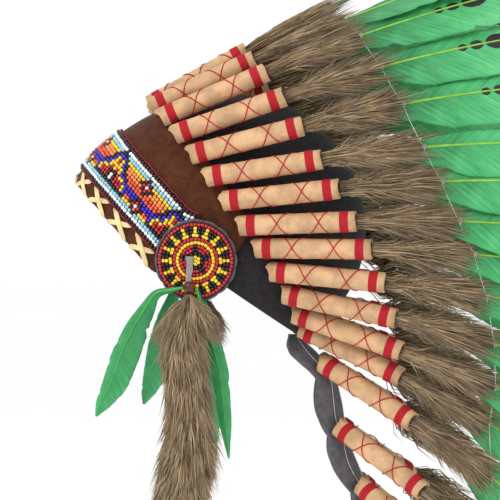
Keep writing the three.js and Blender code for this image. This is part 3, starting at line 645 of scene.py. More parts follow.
def with_spots(tree, across, along, streak, shade):
    """Black spots over a vane's shade. In an oval, the square of along over the half length plus
    the square of across over the half width is under one, and the streaks make its edge ragged."""
    nearest = None
    for middle, half_length, half_width in SPOTS:
        x, y = (add(tree, "ShaderNodeMath", TIMES_PLUS,
                    {0: value, 1: 1 / half, 2: -centre / half}).outputs[0]
                for value, half, centre in ((along, half_length, middle), (across, half_width, 0)))
        square = add(tree, "ShaderNodeMath", {"operation": "MULTIPLY"}, {0: y, 1: y})
        oval = add(tree, "ShaderNodeMath", TIMES_PLUS, {0: x, 1: x, 2: square.outputs[0]})
        nearest = oval if nearest is None else add(
            tree, "ShaderNodeMath", {"operation": "MINIMUM"},
            {0: oval.outputs[0], 1: nearest.outputs[0]})
    ragged = add(tree, "ShaderNodeMath", TIMES_PLUS, {0: streak, 1: 0.9, 2: -0.45})
    edge = add(tree, "ShaderNodeMath", {"operation": "ADD"},
               {0: nearest.outputs[0], 1: ragged.outputs[0]})
    inked = add(tree, "ShaderNodeMapRange", None,
                {"Value": edge.outputs[0], "From Min": 0.92, "From Max": 1.08})
    mixed = add(tree, "ShaderNodeMix", {"data_type": "RGBA"},
                {"Factor": inked.outputs["Result"], MIX_FIRST: linear("#14110f"),
                 MIX_SECOND: shade})
    return mixed.outputs[MIX_COLOUR]


def vane(name, colours, spotted):
    """Dyed goose vane: barbs leave the quill at about 41 degrees, 0.7 mm apart and drawn at
    1.6 mm so that they show, lighter to the edges, with black spots on the quill line."""
    def build(tree):
        place = add(tree, "ShaderNodeUVMap", {"uv_map": "barbs"})
        axes = add(tree, "ShaderNodeSeparateXYZ", None, {"Vector": place.outputs["UV"]})
        across, along = axes.outputs["X"], axes.outputs["Y"]
        aside = add(tree, "ShaderNodeMath", {"operation": "ABSOLUTE"}, {0: across})
        barb = add(tree, "ShaderNodeMath", TIMES_PLUS,
                   {0: aside.outputs[0], 1: -BARB_SLOPE, 2: along})
        line = add(tree, "ShaderNodeCombineXYZ", None, {"X": barb.outputs[0], "Y": across})
        squeezed = add(tree, "ShaderNodeMapping", None,
                       {"Vector": line.outputs[0], "Scale": (BARBS_PER_UNIT, BARB_DRIFT, 1)})
        streak = add(tree, "ShaderNodeTexNoise", None,
                     {"Vector": squeezed.outputs[0], "Scale": 1, "Detail": 4, "Roughness": 0.7}
                     ).outputs["Fac"]
        cloud = add(tree, "ShaderNodeTexNoise", None,
                    {"Vector": place.outputs["UV"], "Scale": 5, "Detail": 3})
        tone = add(tree, "ShaderNodeAttribute", {"attribute_name": "tone"})
        light = add(tree, "ShaderNodeMath", TIMES_PLUS,
                    {0: streak, 1: 0.75, 2: tone.outputs["Fac"]})
        light = add(tree, "ShaderNodeMath", TIMES_PLUS,
                    {0: cloud.outputs["Fac"], 1: 0.35, 2: light.outputs[0]})
        shade = add(tree, "ShaderNodeValToRGB",
                    {"stops": list(zip((0.3, 0.6, 0.95, 1.0), colours))},
                    {"Fac": light.outputs[0]}).outputs["Color"]
        if spotted:
            shade = with_spots(tree, across, along, streak, shade)
        bump = add(tree, "ShaderNodeBump", None,
                   {"Strength": 0.5, "Distance": 0.0006, "Height": streak})
        return {"Base Color": shade, "Normal": bump.outputs["Normal"]}
    return finished(name, build, Roughness=0.5, Sheen_Weight=0.1, Specular_IOR_Level=0.4)


def quill(name, colour):
    """Dyed quill: horn-like, smooth and slightly see-through, so a low even gloss."""
    def build(tree):
        place = add(tree, "ShaderNodeTexCoord").outputs["Object"]
        grain = add(tree, "ShaderNodeTexNoise", None, {"Vector": place, "Scale": 120, "Detail": 3})
        dark, light = tones(colour, 0.75, 1.15)
        shade = add(tree, "ShaderNodeValToRGB", {"stops": [(0.3, dark), (0.7, light)]},
                    {"Fac": grain.outputs["Fac"]})
        return {"Base Color": shade.outputs["Color"]}
    return finished(name, build, Roughness=0.35)


def tint(name, description, hex_colour):
    """A colour that the user can change."""
    return bpy.props.FloatVectorProperty(
        name=name, description=description, subtype="COLOR", size=3, min=0, max=1,
        default=linear(hex_colour))


class FeltAndHide(bpy.types.PropertyGroup):
    """Colours of the cap, the suede and the lace."""

    cap: tint("Cap felt", "Colour of the skull cap", "#262427")
    trailer: tint("Trailer felt", "Colour of the trailer and the rosette backings", "#57555a")
    panel: tint("Brow suede", "Colour of the suede over the brow", "#4f2a17")
    lace: tint("Lace", "Colour of the flat lace along the brow", "#e6cf98")


class Beadwork(bpy.types.PropertyGroup):
    """Sizes and colours of the seed beads."""

    plumpness: bpy.props.FloatProperty(
        name="Plumpness", description="Bead diameter as a share of the pitch along a row",
        default=0.95, min=0.6, max=1, subtype="FACTOR")
    black: tint("Black", "Ground of the rosettes and outlines of the band", "#120c12")
    white: tint("White", "Border rows", "#fdf6f6")
    blue: tint("Light blue", "Inner border rows", "#94cfe2")
    yellow: tint("Yellow", "Steps and points", "#f5cf35")
    orange: tint("Orange", "Middle of the band", "#f0934a")
    flame: tint("Red-orange", "Middle of the band", "#e0583c")
    red: tint("Red", "Crosses and rings", "#b3212c")
    navy: tint("Navy", "The zigzag", "#3424b4")


class PlumeFinish(bpy.types.PropertyGroup):
    """Sizes and colours of the plumes."""

    hide: tint("Sleeve hide", "Colour of the rolled sleeves", "#cfa67c")
    binding: tint("Binding thread", "Colour of the bands and crosses on the sleeves", "#bd1a2a")
    vane_deep: tint("Vane, deep", "Colour of a vane near the fur", "#127038")
    vane_mid: tint("Vane", "Main colour of a vane", "#44ae68")
    vane_light: tint("Vane, light", "Colour of a vane towards its edges", "#8ddaa2")
    quill: tint("Quill", "Colour of the quills", "#86bf3c")
    hairs: bpy.props.IntProperty(
        name="Hairs in a lock", description="Strands of fur on each plume", default=790, min=50,
        max=1500)
    hair: bpy.props.FloatProperty(
        name="Hair radius", description="Half the thickness of a strand of fur",
        default=0.00055, min=0.0002, max=0.003, unit="LENGTH", precision=4)


class DropFinish(bpy.types.PropertyGroup):
    """Sizes and colours of the fur drops."""

    root: tint("Fur, root", "Colour of the fur at its root", "#453524")
    mid: tint("Fur", "Main colour of the fur", "#836b4c")
    light: tint("Fur, light", "Colour of the lighter hairs", "#b09a78")
    tip: tint("Fur, tip", "Colour of the hair ends", "#c0a481")
    thong: tint("Thong", "Colour of the thong at the rosette", "#8d8a88")
    hairs: bpy.props.IntProperty(
        name="Hairs in a drop", description="Strands of fur on each drop", default=8000, min=500,
        max=14000)
    hair: bpy.props.FloatProperty(
        name="Hair radius", description="Half the thickness of a strand of fur",
        default=0.00048, min=0.0002, max=0.003, unit="LENGTH", precision=4)


class StageSetting(bpy.types.PropertyGroup):
    """The floor, the lights and the camera."""

    floor: tint("Floor", "Colour of the plain floor", "#ffffff")
    sky: bpy.props.FloatProperty(
        name="Soft light", description="Strength of the even light from all round", default=1.0,
        min=0, max=3)
    distance: bpy.props.FloatProperty(
        name="Camera distance", description="From the camera to the middle plane of the headdress",
        default=2.0, min=0.5, max=10, unit="LENGTH")


def fur_material(props):
    """The fur of locks and drops alike."""
    return fur("rabbit_guard_hair", [tuple(props.root), tuple(props.mid), tuple(props.light),
                                     tuple(props.tip)])


class HEADDRESS_OT_felt_cap(bpy.types.Operator):
    """Make the felt skull cap: the head form's surface and the same drawn in by the felt's wall."""

    bl_idname = "headdress.felt_cap"
    bl_label = "Felt cap"

    def execute(self, context):
        turn = np.linspace(0, 2 * np.pi, 112, endpoint=False)[None]
        rim, edge = rim_height(turn), panel_top(turn)
        low = np.linspace(0, 1, 16, endpoint=False)[:, None]
        high = np.sin(np.linspace(0, 0.99, 28) * np.pi / 2)[:, None]
        skins = []
        for out in (0, -FELT_WALL):
            heights = np.concatenate([rim + (edge - rim) * low,
                                      edge + (CAP_HEIGHT + out - edge) * high])
            skins.append(tilted(head_point(turn, heights, out)))
        material = felt("pressed_wool_felt", tuple(context.scene.headdress_felt.cap))
        piece("cap_felt", [shell(*skins, round_columns=True, pole=True)], [material],
              ["skull_cap"])
        return {"FINISHED"}


def layer(end, low, high, under, thickness, columns=140, rows=28):
    """A layer on the cap between two heights: point = head form at a turn and a height, grown by
    the layer's under and outer sides."""
    turn = np.linspace(-end, end, columns)[None]
    share = np.linspace(0, 1, rows)[:, None]
    heights = low(turn) + (high(turn) - low(turn)) * share
    return shell(tilted(head_point(turn, heights, under + thickness)),
                 tilted(head_point(turn, heights, under)))


def ribbon(turns, heights, outs):
    """A flat lace: a rounded rectangle carried along a line given by turn, height and out. Its
    width lies round the head, square to the way it runs."""
    path = head_point(turns, heights, outs)
    around, _, _ = head_axes(turns, heights, outs)
    way = unit(np.gradient(path, axis=0))
    side = unit(around - way * np.einsum("ij,ij->i", around, way)[:, None])
    return carried(tilted(path), turned(side), turned(np.cross(way, side)),
                   flat_form(LACE_WIDTH, LACE_THICKNESS))


def lace_cross(middle, inside, outside):
    """The two laces of a cross, which lean opposite ways, the second over the first."""
    span = np.linalg.norm(head_point(middle + 0.5, 0.0) - head_point(middle - 0.5, 0.0))
    parts = []
    for lean, lift in ((CROSS_LEAN, 0), (-CROSS_LEAN, 1)):
        knots = [(middle + (2 * share - 1) * lean / span, height,
                  (inside, outside)[face] + off + over * lift)
                 for share, height, face, off, over in LACE_KNOTS]
        turns, heights, outs = smooth_line(knots, 46).T
        parts.append(ribbon(turns, rim_height(turns) + heights, outs))
    return parts


def inner_lace(end, inside):
    """The lace that runs along inside the rim, behind the crosses, to this turn on each side."""
    turns = np.linspace(-end, end, 200)
    heights = rim_height(turns) + 1.6
    _, up, out = head_axes(turns, heights, inside)
    return carried(tilted(head_point(turns, heights, inside)), turned(up), turned(out),
                   circle(8) * (LACE_WIDTH / 2, LACE_THICKNESS / 2))


class HEADDRESS_OT_brow(bpy.types.Operator):
    """Make the suede over the brow and the lace crossed over its edge."""

    bl_idname = "headdress.brow"
    bl_label = "Brow suede and lace"

    def execute(self, context):
        props = context.scene.headdress_felt
        panel = layer(PANEL_END, rim_height, panel_top, LAYER_GAP, SUEDE_WALL, 140, 24)
        piece("brow_suede", [panel], [suede("brushed_suede", tuple(props.panel))],
              ["brow_panel"])
        side = even_turns(rim_height, (np.arange(CROSSES_PER_SIDE) + 1) * LACE_PITCH)
        inside = -FELT_WALL - LACE_INSET - LACE_THICKNESS / 2
        outside = PANEL_OUT + LACE_THICKNESS / 2 + 0.2
        parts = []
        for middle in [*-side[::-1], 0, *side]:
            parts += lace_cross(middle, inside, outside)
        parts.append(inner_lace(side[-1] + 0.05, inside))
        piece("lace_crosses", parts, [smooth_hide("cream_lacing_hide", tuple(props.lace), 0.25)],
              ["brow_lacing"])
        return {"FINISHED"}


def bead_hues(props):
    """The linear colour of each letter of the bead charts."""
    return {"k": props.black, "w": props.white, "b": props.blue, "y": props.yellow,
            "o": props.orange, "t": props.flame, "r": props.red, "n": props.navy}


def weft_thread():
    """The dark thread under the beads of the band and the rosettes."""
    return thread("weft_thread", linear("#3a1216"))


def band_beads(props):
    """The band's beads: columns an even pitch apart along its middle line, rows an even pitch
    apart up from the rim, each bead moved a little at random and coloured from the chart."""
    def middle(turn):
        """The height of the band's middle line."""
        return rim_height(turn) + BAND_ABOVE_RIM + BAND_HEIGHT / 2

    turns = np.linspace(0, BAND_END, 400)
    count = int(run_along(head_point(turns, middle(turns)))[-1] / BEAD_PITCH)
    half = even_turns(middle, np.arange(count + 1) * BEAD_PITCH)
    column_turns = np.concatenate([-half[:0:-1], half])
    from_valley = np.abs(np.arange(-count, count + 1)) - FIRST_VALLEY
    phase = np.abs((from_valley + HALF_REPEAT) % (2 * HALF_REPEAT) - HALF_REPEAT)
    row, column = (index.ravel() for index in np.indices((BAND_ROWS, len(column_turns))))
    random = np.random.default_rng(11)
    turn = column_turns[column]
    height = rim_height(turn) + BAND_ABOVE_RIM + (BAND_ROWS - row - 0.5) * BAND_PITCH
    turn = turn + random.normal(0, 0.0012, len(turn))
    height = height + random.normal(0, 0.1, len(turn))
    out = BAND_OUT + BEAD_RISE + random.normal(0, 0.08, len(turn))
    around, up, away = head_axes(turn, height, out)
    axes = turned(np.stack([up, around, away], 1)).transpose(0, 2, 1)
    hues = bead_hues(props)
    colour = np.array([tuple(hues[BAND_CHART[r][p]]) for r, p in zip(row, phase[column])])
    return strewn(barrel(BAND_BEAD_HALF, BEAD_PITCH * props.plumpness / 2),
                  tilted(head_point(turn, height, out)), axes, colour)


class HEADDRESS_OT_bead_band(bpy.types.Operator):
    """Make the loomed band: seed beads in rows round the brow, on a dark weft, with a twisted
    thread along each edge."""

    bl_idname = "headdress.bead_band"
    bl_label = "Bead band"

    def execute(self, context):
        weft = layer(BAND_END + 0.02, lambda t: rim_height(t) + BAND_ABOVE_RIM - 0.8,
                     lambda t: rim_height(t) + BAND_ABOVE_RIM + BAND_HEIGHT + 0.8,
                     BAND_OUT, 0.9, 120, 12)
        piece("bead_band_beads", [band_beads(context.scene.headdress_beads), second(weft)],
              [seed_glass(), weft_thread()], ["bead_band"])
        turns = np.linspace(-BAND_END, BAND_END, 240)
        twist = np.arange(240)
        edges = []
        for at in (BAND_ABOVE_RIM - EDGE_OUT, BAND_ABOVE_RIM + BAND_HEIGHT + EDGE_OUT):
            path = head_point(turns, rim_height(turns) + at + 0.2 * np.sin(twist),
                              BAND_OUT + 1.1 + 0.25 * np.cos(twist))
            edges.append(tube(tilted(path), 0.75 + 0.15 * np.sin(twist * 1.7), 6))
        piece("bead_band_edges", edges, [thread("edge_thread", linear("#8d2330"))])
        return {"FINISHED"}


def rosette_frame(hand, side):
    """A rosette's outward direction, and a function that sets a point on it by radius, angle and
    rise. Angle 0 is at the top, and it grows to the back."""
    away = turned(head_axes(-side * ROSETTE_TURN, ROSETTE_HEIGHT, PANEL_OUT)[2])
    middle = node_points(f"rosette_{hand}").mean(0)
    level = unit(np.cross((0, 0, 1.0), away))
    upright = np.cross(away, level)

    def on_disc(radius, angle, rise):
        """Middle + radius * (sine along the back, cosine upright) + rise * outward."""
        r, a, h = np.broadcast_arrays(radius, angle, rise)
        return (middle + (side * np.sin(a) * r)[..., None] * level
                + (np.cos(a) * r)[..., None] * upright + h[..., None] * away)
    return away, on_disc


def rosette_beads(away, on_disc, hues, random):
    """Rings of beads a pitch apart: angle = (bead + the ring's turn) / beads in the ring of a full
    turn, on a dome that is highest in the middle. Each lies along its ring."""
    places, axes, colour = [], [], []
    for ring, (letters, repeats, shift) in enumerate(ROSETTE_CHART):
        radius = ring * BAND_PITCH
        count = len(letters) * repeats
        angle = (np.arange(count) + shift) / count * 2 * np.pi
        jitter = random.normal(0, 0.12, (2, count))
        rise = 0.15 + ROSETTE_DOME * (1 - (radius / 32) ** 2) + jitter[1] * 0.6
        places.append(on_disc(radius + jitter[0], angle, rise))
        along = unit(on_disc(1.0, angle + 0.01, 0.0) - on_disc(1.0, angle - 0.01, 0.0))
        out = unit(on_disc(1.0, angle, 0.0) - on_disc(0.0, 0.0, 0.0))
        axes.append(np.stack([along, out, np.broadcast_to(away, along.shape)], -1))
        colour += [tuple(hues[letter]) for letter in letters * repeats]
    return strewn(barrel(ROSETTE_BEAD_HALF, ROSETTE_BEAD_RADIUS), np.concatenate(places),
                  np.concatenate(axes), np.array(colour))


def rosette_backing(on_disc):
    """The felt disc under a rosette: radius = the disc's, plus a rounded scallop that follows the
    0.6th power of a cosine's size. Its outer edge is eased at both faces."""
    angle = np.linspace(0, 2 * np.pi, 256, endpoint=False)[None]
    scallop = SCALLOP_DEPTH * np.abs(np.cos(angle * SCALLOPS / 2)) ** 0.6
    edge = ROSETTE_RADIUS + BACKING_MARGIN - 0.9 + scallop
    shares = np.array([1, 0.985, 0.9, 0.5, 0.03])[:, None]
    ease = np.array([0.35, 0, 0, 0, 0])[:, None]
    top = -ROSETTE_THICKNESS / 2 - GAP
    skins = [on_disc(edge * shares, angle, top - ease),
             on_disc(edge * shares, angle, top - BACKING_THICKNESS + ease)]
    return shell(*skins, round_columns=True, pole=True)


class HEADDRESS_OT_rosettes(bpy.types.Operator):
    """Make each temple rosette: rings of seed beads on a stiff disc with a thread round its edge,
    over a felt disc with a scalloped edge."""

    bl_idname = "headdress.rosettes"
    bl_label = "Rosettes"

    def execute(self, context):
        hues = bead_hues(context.scene.headdress_beads)
        for hand, side in SIDES:
            away, on_disc = rosette_frame(hand, side)
            beads = rosette_beads(away, on_disc, hues, np.random.default_rng(seed_of(hand)))
            angle = np.linspace(0, 2 * np.pi, 96, endpoint=False)[None]
            rings = np.linspace(1, ROSETTE_RADIUS - 1, 8)[::-1, None]
            base = shell(*[on_disc(rings, angle, h) for h in (0.1, -ROSETTE_THICKNESS / 2)],
                         round_columns=True, pole=True)
            around = np.linspace(0, 2 * np.pi, 145)
            edge = tube(on_disc(ROSETTE_RADIUS + 0.5 + 0.2 * np.sin(around * 31), around, -0.5),
                        0.9 + 0.15 * np.sin(around * 23), 6)
            piece(f"rosette_beads_{hand}", [beads, second(base), second(edge)],
                  [seed_glass(), weft_thread()], [f"rosette_{hand}"])
            cloth = felt("grey_wool_felt", tuple(context.scene.headdress_felt.trailer))
            piece(f"rosette_felt_{hand}", [rosette_backing(on_disc)], [cloth],
                  [f"rosette_backing_{hand}"])
        return {"FINISHED"}


# ---- plumes ----
def plume_rows():
    """Every plume's node, angles, side and whether it is on the crown."""
    rows = [("plume_centre", CENTRE_PLUME, 1, True)]
    for hand, side in SIDES:
        rows += [(f"plume_{hand}_{k + 1:02d}", row, side, True)
                 for k, row in enumerate(CROWN_PLUMES)]
        rows += [(f"trailer_plume_{hand}_{k + 1}", row, side, False)
                 for k, row in enumerate(TRAILER_PLUMES)]
    return rows


def plume_frame(node, row, side, on_crown):
    """A plume's inner end and its directions along, across and out, as the part sets them. The
    inner end is the mean of the node's corners that lie lowest along the plume."""
    rise, flare, face = np.radians(row)
    along = np.array([np.cos(flare) * np.cos(rise), side * np.sin(flare),
                      np.cos(flare) * np.sin(rise)])
    out = np.array([-np.sin(rise) * np.cos(face), side * np.sin(face), np.cos(rise) * np.cos(face)])
    out = unit(out - along * (out @ along))
    across = np.cross(out, along)
    roll = 0 if face == 0 else side * SHINGLE_ROLL
    across, out = (across * np.cos(roll) + out * np.sin(roll),
                   out * np.cos(roll) - across * np.sin(roll))
    if on_crown:
        along, across, out = (turned(v) for v in (along, across, out))
    corners = node_points(node)
    reach = corners @ along
    return corners[reach < reach.min() + 0.5].mean(0), along, across, out


def set_in(local, plume):
    """Points given along, across and out of a plume, in the row's frame."""
    origin, along, across, out = plume
    return origin + local[..., :1] * along + local[..., 1:2] * across + local[..., 2:] * out


def bent(x, across, up, side, centre):
    """A plume's own place, bent beyond its sleeve: the tip sags to the wide side and bows in, both
    by the square of the share along it."""
    share = np.maximum(0, (x - SLEEVE_LENGTH) / FEATHER_LENGTH)
    sag = 0 if centre else PLUME_SAG * share ** 2
    x, y, z = np.broadcast_arrays(x, side * (across + sag), up - PLUME_BOW * share ** 2)
    return np.stack([x, y, z], -1)


def rolled_hide(plume, start, wobble):
    """Hide rolled on itself: radius = the sleeve's less a step for each turn under it, dented by
    1.2 parts in a hundred, with a tab that juts from its inner end."""
    angle = np.linspace(0, HIDE_TURNS * 2 * np.pi, 36)
    wraps = angle / (2 * np.pi)
    under = np.floor(wraps) + np.clip((wraps % 1 - 0.72) / 0.28, 0, 1)
    reach = SLEEVE_RADIUS + 0.1 - HIDE_STEP * under
    x = np.linspace(-0.6, SLEEVE_LENGTH + 0.4, 9)[:, None]
    dent = 1 + 0.012 * np.sin(x / 13 + wobble[0]) * np.sin(2 * angle + wobble[1])
    tab = np.exp(-((angle - 2.2) / 0.45) ** 2) * np.clip(1 - x / 12, 0, 1)
    place = x + 0.5 * np.sin(angle * 1.3 + wobble[2]) - 3.5 * tab
    skins = []
    for drawn in (0, HIDE_WALL):
        radius = (reach - drawn) * dent
        local = np.stack([place, radius * np.cos(angle + start),
                          radius * np.sin(angle + start)], -1)
        skins.append(set_in(local, plume))
    return shell(*skins)


def wound_band(plume, begin):
    """Thread wound round a sleeve: radius = 0.35 more than the sleeve's, plus 0.45 times the size
    of a sine for each ridge."""
    ridge = np.linspace(0, 1, 15)
    radius = SLEEVE_RADIUS + 0.35 + 0.45 * np.abs(np.sin(ridge * BINDING_RIDGES * np.pi))
    radius[[0, -1]] = SLEEVE_RADIUS - 0.6
    path = np.stack([begin + ridge * BINDING_WIDTH, 0 * ridge, 0 * ridge], -1)
    _, _, across, out = plume
    return carried(set_in(path, plume), across[None], out[None],
                   radius[:, None, None] * circle(18))


def crossed_thread(plume, way, outward, slack):
    """A thread that goes twice round a sleeve from band to band. The slack moves it most half way
    along, and the other way round makes the thread that crosses it."""
    begin = BINDING_INSET + BINDING_WIDTH
    share = np.linspace(0, 1, 45)
    angle = outward + np.pi + way * (share * 4 * np.pi + slack * np.sin(share * np.pi))
    radius = SLEEVE_RADIUS + 0.42
    local = np.stack([begin + share * (SLEEVE_LENGTH - 2 * begin), radius * np.cos(angle),
                      radius * np.sin(angle)], -1)
    return tube(set_in(local, plume), 0.5, 4)


def sleeve_parts(plume, side, random):
    """A sleeve: hide rolled round a plug, a wound band near each end, and two threads that cross
    between them."""
    _, _, across, out = plume
    outward = np.arctan2(side * out[1], side * across[1])
    start = outward + np.pi + random.normal(0, 0.4)
    roll = rolled_hide(plume, start, random.uniform(0, 6, 3))
    core = np.stack([np.linspace(1.5, SLEEVE_LENGTH - 1.5, 3), np.zeros(3), np.zeros(3)], -1)
    parts = [roll, tube(set_in(core, plume), PLUG_RADIUS, 10)]
    for begin in (BINDING_INSET, SLEEVE_LENGTH - BINDING_INSET - BINDING_WIDTH):
        parts.append(second(wound_band(plume, begin)))
    outward += random.normal(0, 0.12)
    slack = random.normal(0, 0.25)
    return parts + [second(crossed_thread(plume, way, outward, slack)) for way in (-1, 1)]


def lock_core(plume, side, centre):
    """The soft core of a lock: ovals whose width and depth follow the table."""
    row = np.linspace(LOCK_SHAPE[0, 0], 0.93, 12)
    cos, sin = circle(10).T
    y = cos * (shaped(LOCK_SHAPE, row, 1) * LOCK_WIDTH * LOCK_CORE)[:, None]
    z = sin * (shaped(LOCK_SHAPE, row, 2) * LOCK_THICKNESS * LOCK_CORE)[:, None]
    local = bent(SLEEVE_LENGTH + row[:, None] * LOCK_LENGTH, y, z, side, centre)
    core = lofted(set_in(local, plume))
    core["tone"] = np.full(len(core["points"]), 0.05)
    return core


def lock_parts(plume, side, centre, props, random):
    """A fur lock tied over the sleeve's end: hairs rooted round the end and along a soft core,
    each bowed and ending at its own length, so the lock is ragged."""
    count = props.hairs
    rooted = random.uniform(-0.07, 0.6, count)
    angle = random.uniform(0, 2 * np.pi, count)
    fill = np.sqrt(random.uniform(0.15, 1, count))
    wide = shaped(LOCK_SHAPE, rooted, 1) * LOCK_WIDTH / 2
    deep = shaped(LOCK_SHAPE, rooted, 2) * LOCK_THICKNESS / 2
    root = bent(SLEEVE_LENGTH + rooted * LOCK_LENGTH, np.cos(angle) * fill * wide * 0.85,
                np.sin(angle) * fill * deep * 0.85, side, centre)
    length = random.uniform(24, 62, count)
    end = np.minimum(rooted * LOCK_LENGTH + length, LOCK_LENGTH * random.uniform(0.85, 1.24, count))
    end = SLEEVE_LENGTH + np.maximum(end, rooted * LOCK_LENGTH + 16)
    wisp = random.uniform(0, 1, count) > 0.9
    clump = 2.4 * np.sin(5 * angle + 9 * rooted) + 1.6 * np.sin(11 * angle)
    fan = (np.cos(angle) * fill * (LOCK_WIDTH * 0.75) + clump
           + random.normal(0, 1, count) * np.where(wisp, 4.5, 1.7))
    end = end + np.where(wisp, 6, clump)
    tip = bent(end, fan, np.sin(angle) * fill * LOCK_THICKNESS * 0.55
               + random.normal(0, 1.2, count), side, centre)
    lift = np.stack([0 * angle, np.cos(angle) * (5.2 + 30 * np.maximum(0, 0.3 - rooted))
                     + random.normal(0, 1.8, count),
                     np.sin(angle) * 3.4 + random.normal(0, 0.8, count)], -1)
    mid = (root + tip) / 2 + lift
    hairs = needles(*(set_in(p, plume) for p in (root, mid, tip)),
                    props.hair / MM * random.uniform(0.6, 1.25, count))
    base = random.uniform(0.02, 0.5, count) + 0.18 * (random.uniform(0, 1, count) > 0.82)
    warm = random.uniform(0, 1, count) > 0.6
    hairs["tone"] = (np.repeat(base, HAIR_POINTS)
                     + hairs["along"] ** 2 * np.repeat(np.where(warm, 0.42, 0.12), HAIR_POINTS))
    return [lock_core(plume, side, centre), hairs]


def vane_part(along, near, far, place, random, tone, thickness=0.7):
    """A vane between its reaches to either side of the quill. place(along, across, up) sets a
    point, the edges are notched where barbs have parted, and the blade is cambered."""
    share = np.concatenate([-np.linspace(1, 0, 7)[:-1] ** 0.85, np.linspace(0, 1, 9) ** 0.85])
    rows = len(along)
    reach = np.where(share[None] < 0, near[:, None], far[:, None])
    notch = np.ones((rows, 2))
    for edge in (0, 1):
        for at in random.integers(4, rows - 3, 5):
            deep = random.uniform(0.03, 0.16)
            notch[at:at + 2, edge] -= deep * np.array([1, 0.45])
        notch[:, edge] += random.normal(0, 0.012, rows)
    cut = np.where(share[None] < 0, notch[:, :1], notch[:, 1:])
    across = share[None] * reach * (1 + (cut - 1) * np.abs(share[None]) ** 3)
    swept = along[:, None] + np.abs(across) * 0.22
    ripple = random.uniform(0, 6, 2)
    up = (-1.6 * share[None] ** 2 + 0.15 * np.sin(along[:, None] / 11 + ripple[0] + 2 * share[None])
          * np.abs(share[None]))
    thin = thickness / 2 * (1 - 0.75 * np.abs(share[None]))
    part = shell(*[place(swept, across, up + s * thin) for s in (1, -1)])
    uv = np.stack([across, swept - SLEEVE_LENGTH], -1).reshape(-1, 2) / VANE_UNIT
    part["barbs"] = np.concatenate([uv, uv])
    shade = (tone[:, None] + 0.12 * np.abs(share[None])).ravel()
    part["tone"] = np.concatenate([shade, shade])
    return part


def feather_parts(plume, side, centre, random, deep):
    """A plume's quill and vane beyond its sleeve. The vane's reach to each side follows the table,
    and the quill tapers evenly."""
    def place(x, across, up):
        """The plume's own place, bent and set in."""
        return set_in(bent(x, across, up, side, centre), plume)

    along = SLEEVE_LENGTH + np.linspace(VANE_START, FEATHER_LENGTH, 66)
    share = (along - along[0]) / (along[-1] - along[0])
    width = shaped(VANE_SHAPE, share, 1)
    narrow, wide = (CENTRE_VANE, CENTRE_VANE) if centre else (NARROW_VANE, WIDE_VANE)
    tone = -0.2 + 0.45 * np.clip(share * 1.6, 0, 1) - deep
    blade = vane_part(along, width * narrow, width * wide, place, random, tone)
    line = SLEEVE_LENGTH + np.linspace(-6, FEATHER_LENGTH - 2, 46)
    return [blade, second(tube(place(line, 0.0, 0.25), np.linspace(1.45, 0.35, 46), 6))]


class HEADDRESS_OT_sleeves(bpy.types.Operator):
    """Make each plume's sleeve of rolled hide with its wound and crossed threads."""

    bl_idname = "headdress.sleeves"
    bl_label = "Sleeves"

    def execute(self, context):
        props = context.scene.headdress_plumes
        hide = smooth_hide("tan_garment_leather", tuple(props.hide), 0.5)
        red = thread("red_waxed_thread", tuple(props.binding))
        for node, row, side, on_crown in plume_rows():
            random = np.random.default_rng(seed_of(node))
            plume = plume_frame(node, row, side, on_crown)
            piece(node + "_sleeve", sleeve_parts(plume, side, random), [hide, red])
        return {"FINISHED"}


class HEADDRESS_OT_fur_locks(bpy.types.Operator):
    """Make the fur lock over the outer end of each sleeve."""

    bl_idname = "headdress.fur_locks"
    bl_label = "Fur locks"

    def execute(self, context):
        props = context.scene.headdress_plumes
        material = fur_material(context.scene.headdress_drops)
        for node, row, side, on_crown in plume_rows():
            random = np.random.default_rng(seed_of(node) + 1)
            plume = plume_frame(node, row, side, on_crown)
            parts = lock_parts(plume, side, node == "plume_centre", props, random)
            piece(node + "_lock", parts, [material])
        return {"FINISHED"}


class HEADDRESS_OT_feathers(bpy.types.Operator):
    """Make the quill and vane of each plume."""

    bl_idname = "headdress.feathers"
    bl_label = "Feathers"

    def execute(self, context):
        props = context.scene.headdress_plumes
        green = [tuple(props.vane_deep), tuple(props.vane_mid), tuple(props.vane_light),
                 tuple(props.vane_light)]
        blade = vane("dyed_goose_vane", green, True)
        rod = quill("dyed_goose_quill", tuple(props.quill))
        for node, row, side, on_crown in plume_rows():
            random = np.random.default_rng(seed_of(node) + 2)
            plume = plume_frame(node, row, side, on_crown)
            deep = 0.0 if not on_crown else np.interp(row[0], (30, 60), (0, 0.16))
            parts = feather_parts(plume, side, node == "plume_centre", random, deep)
            piece(node + "_feather", parts, [blade, rod], [node])
        return {"FINISHED"}


def white_thread():
    """The white cotton of the ties and of the trailer's threads."""
    return thread("white_cotton_thread", linear("#f2f0ea"))


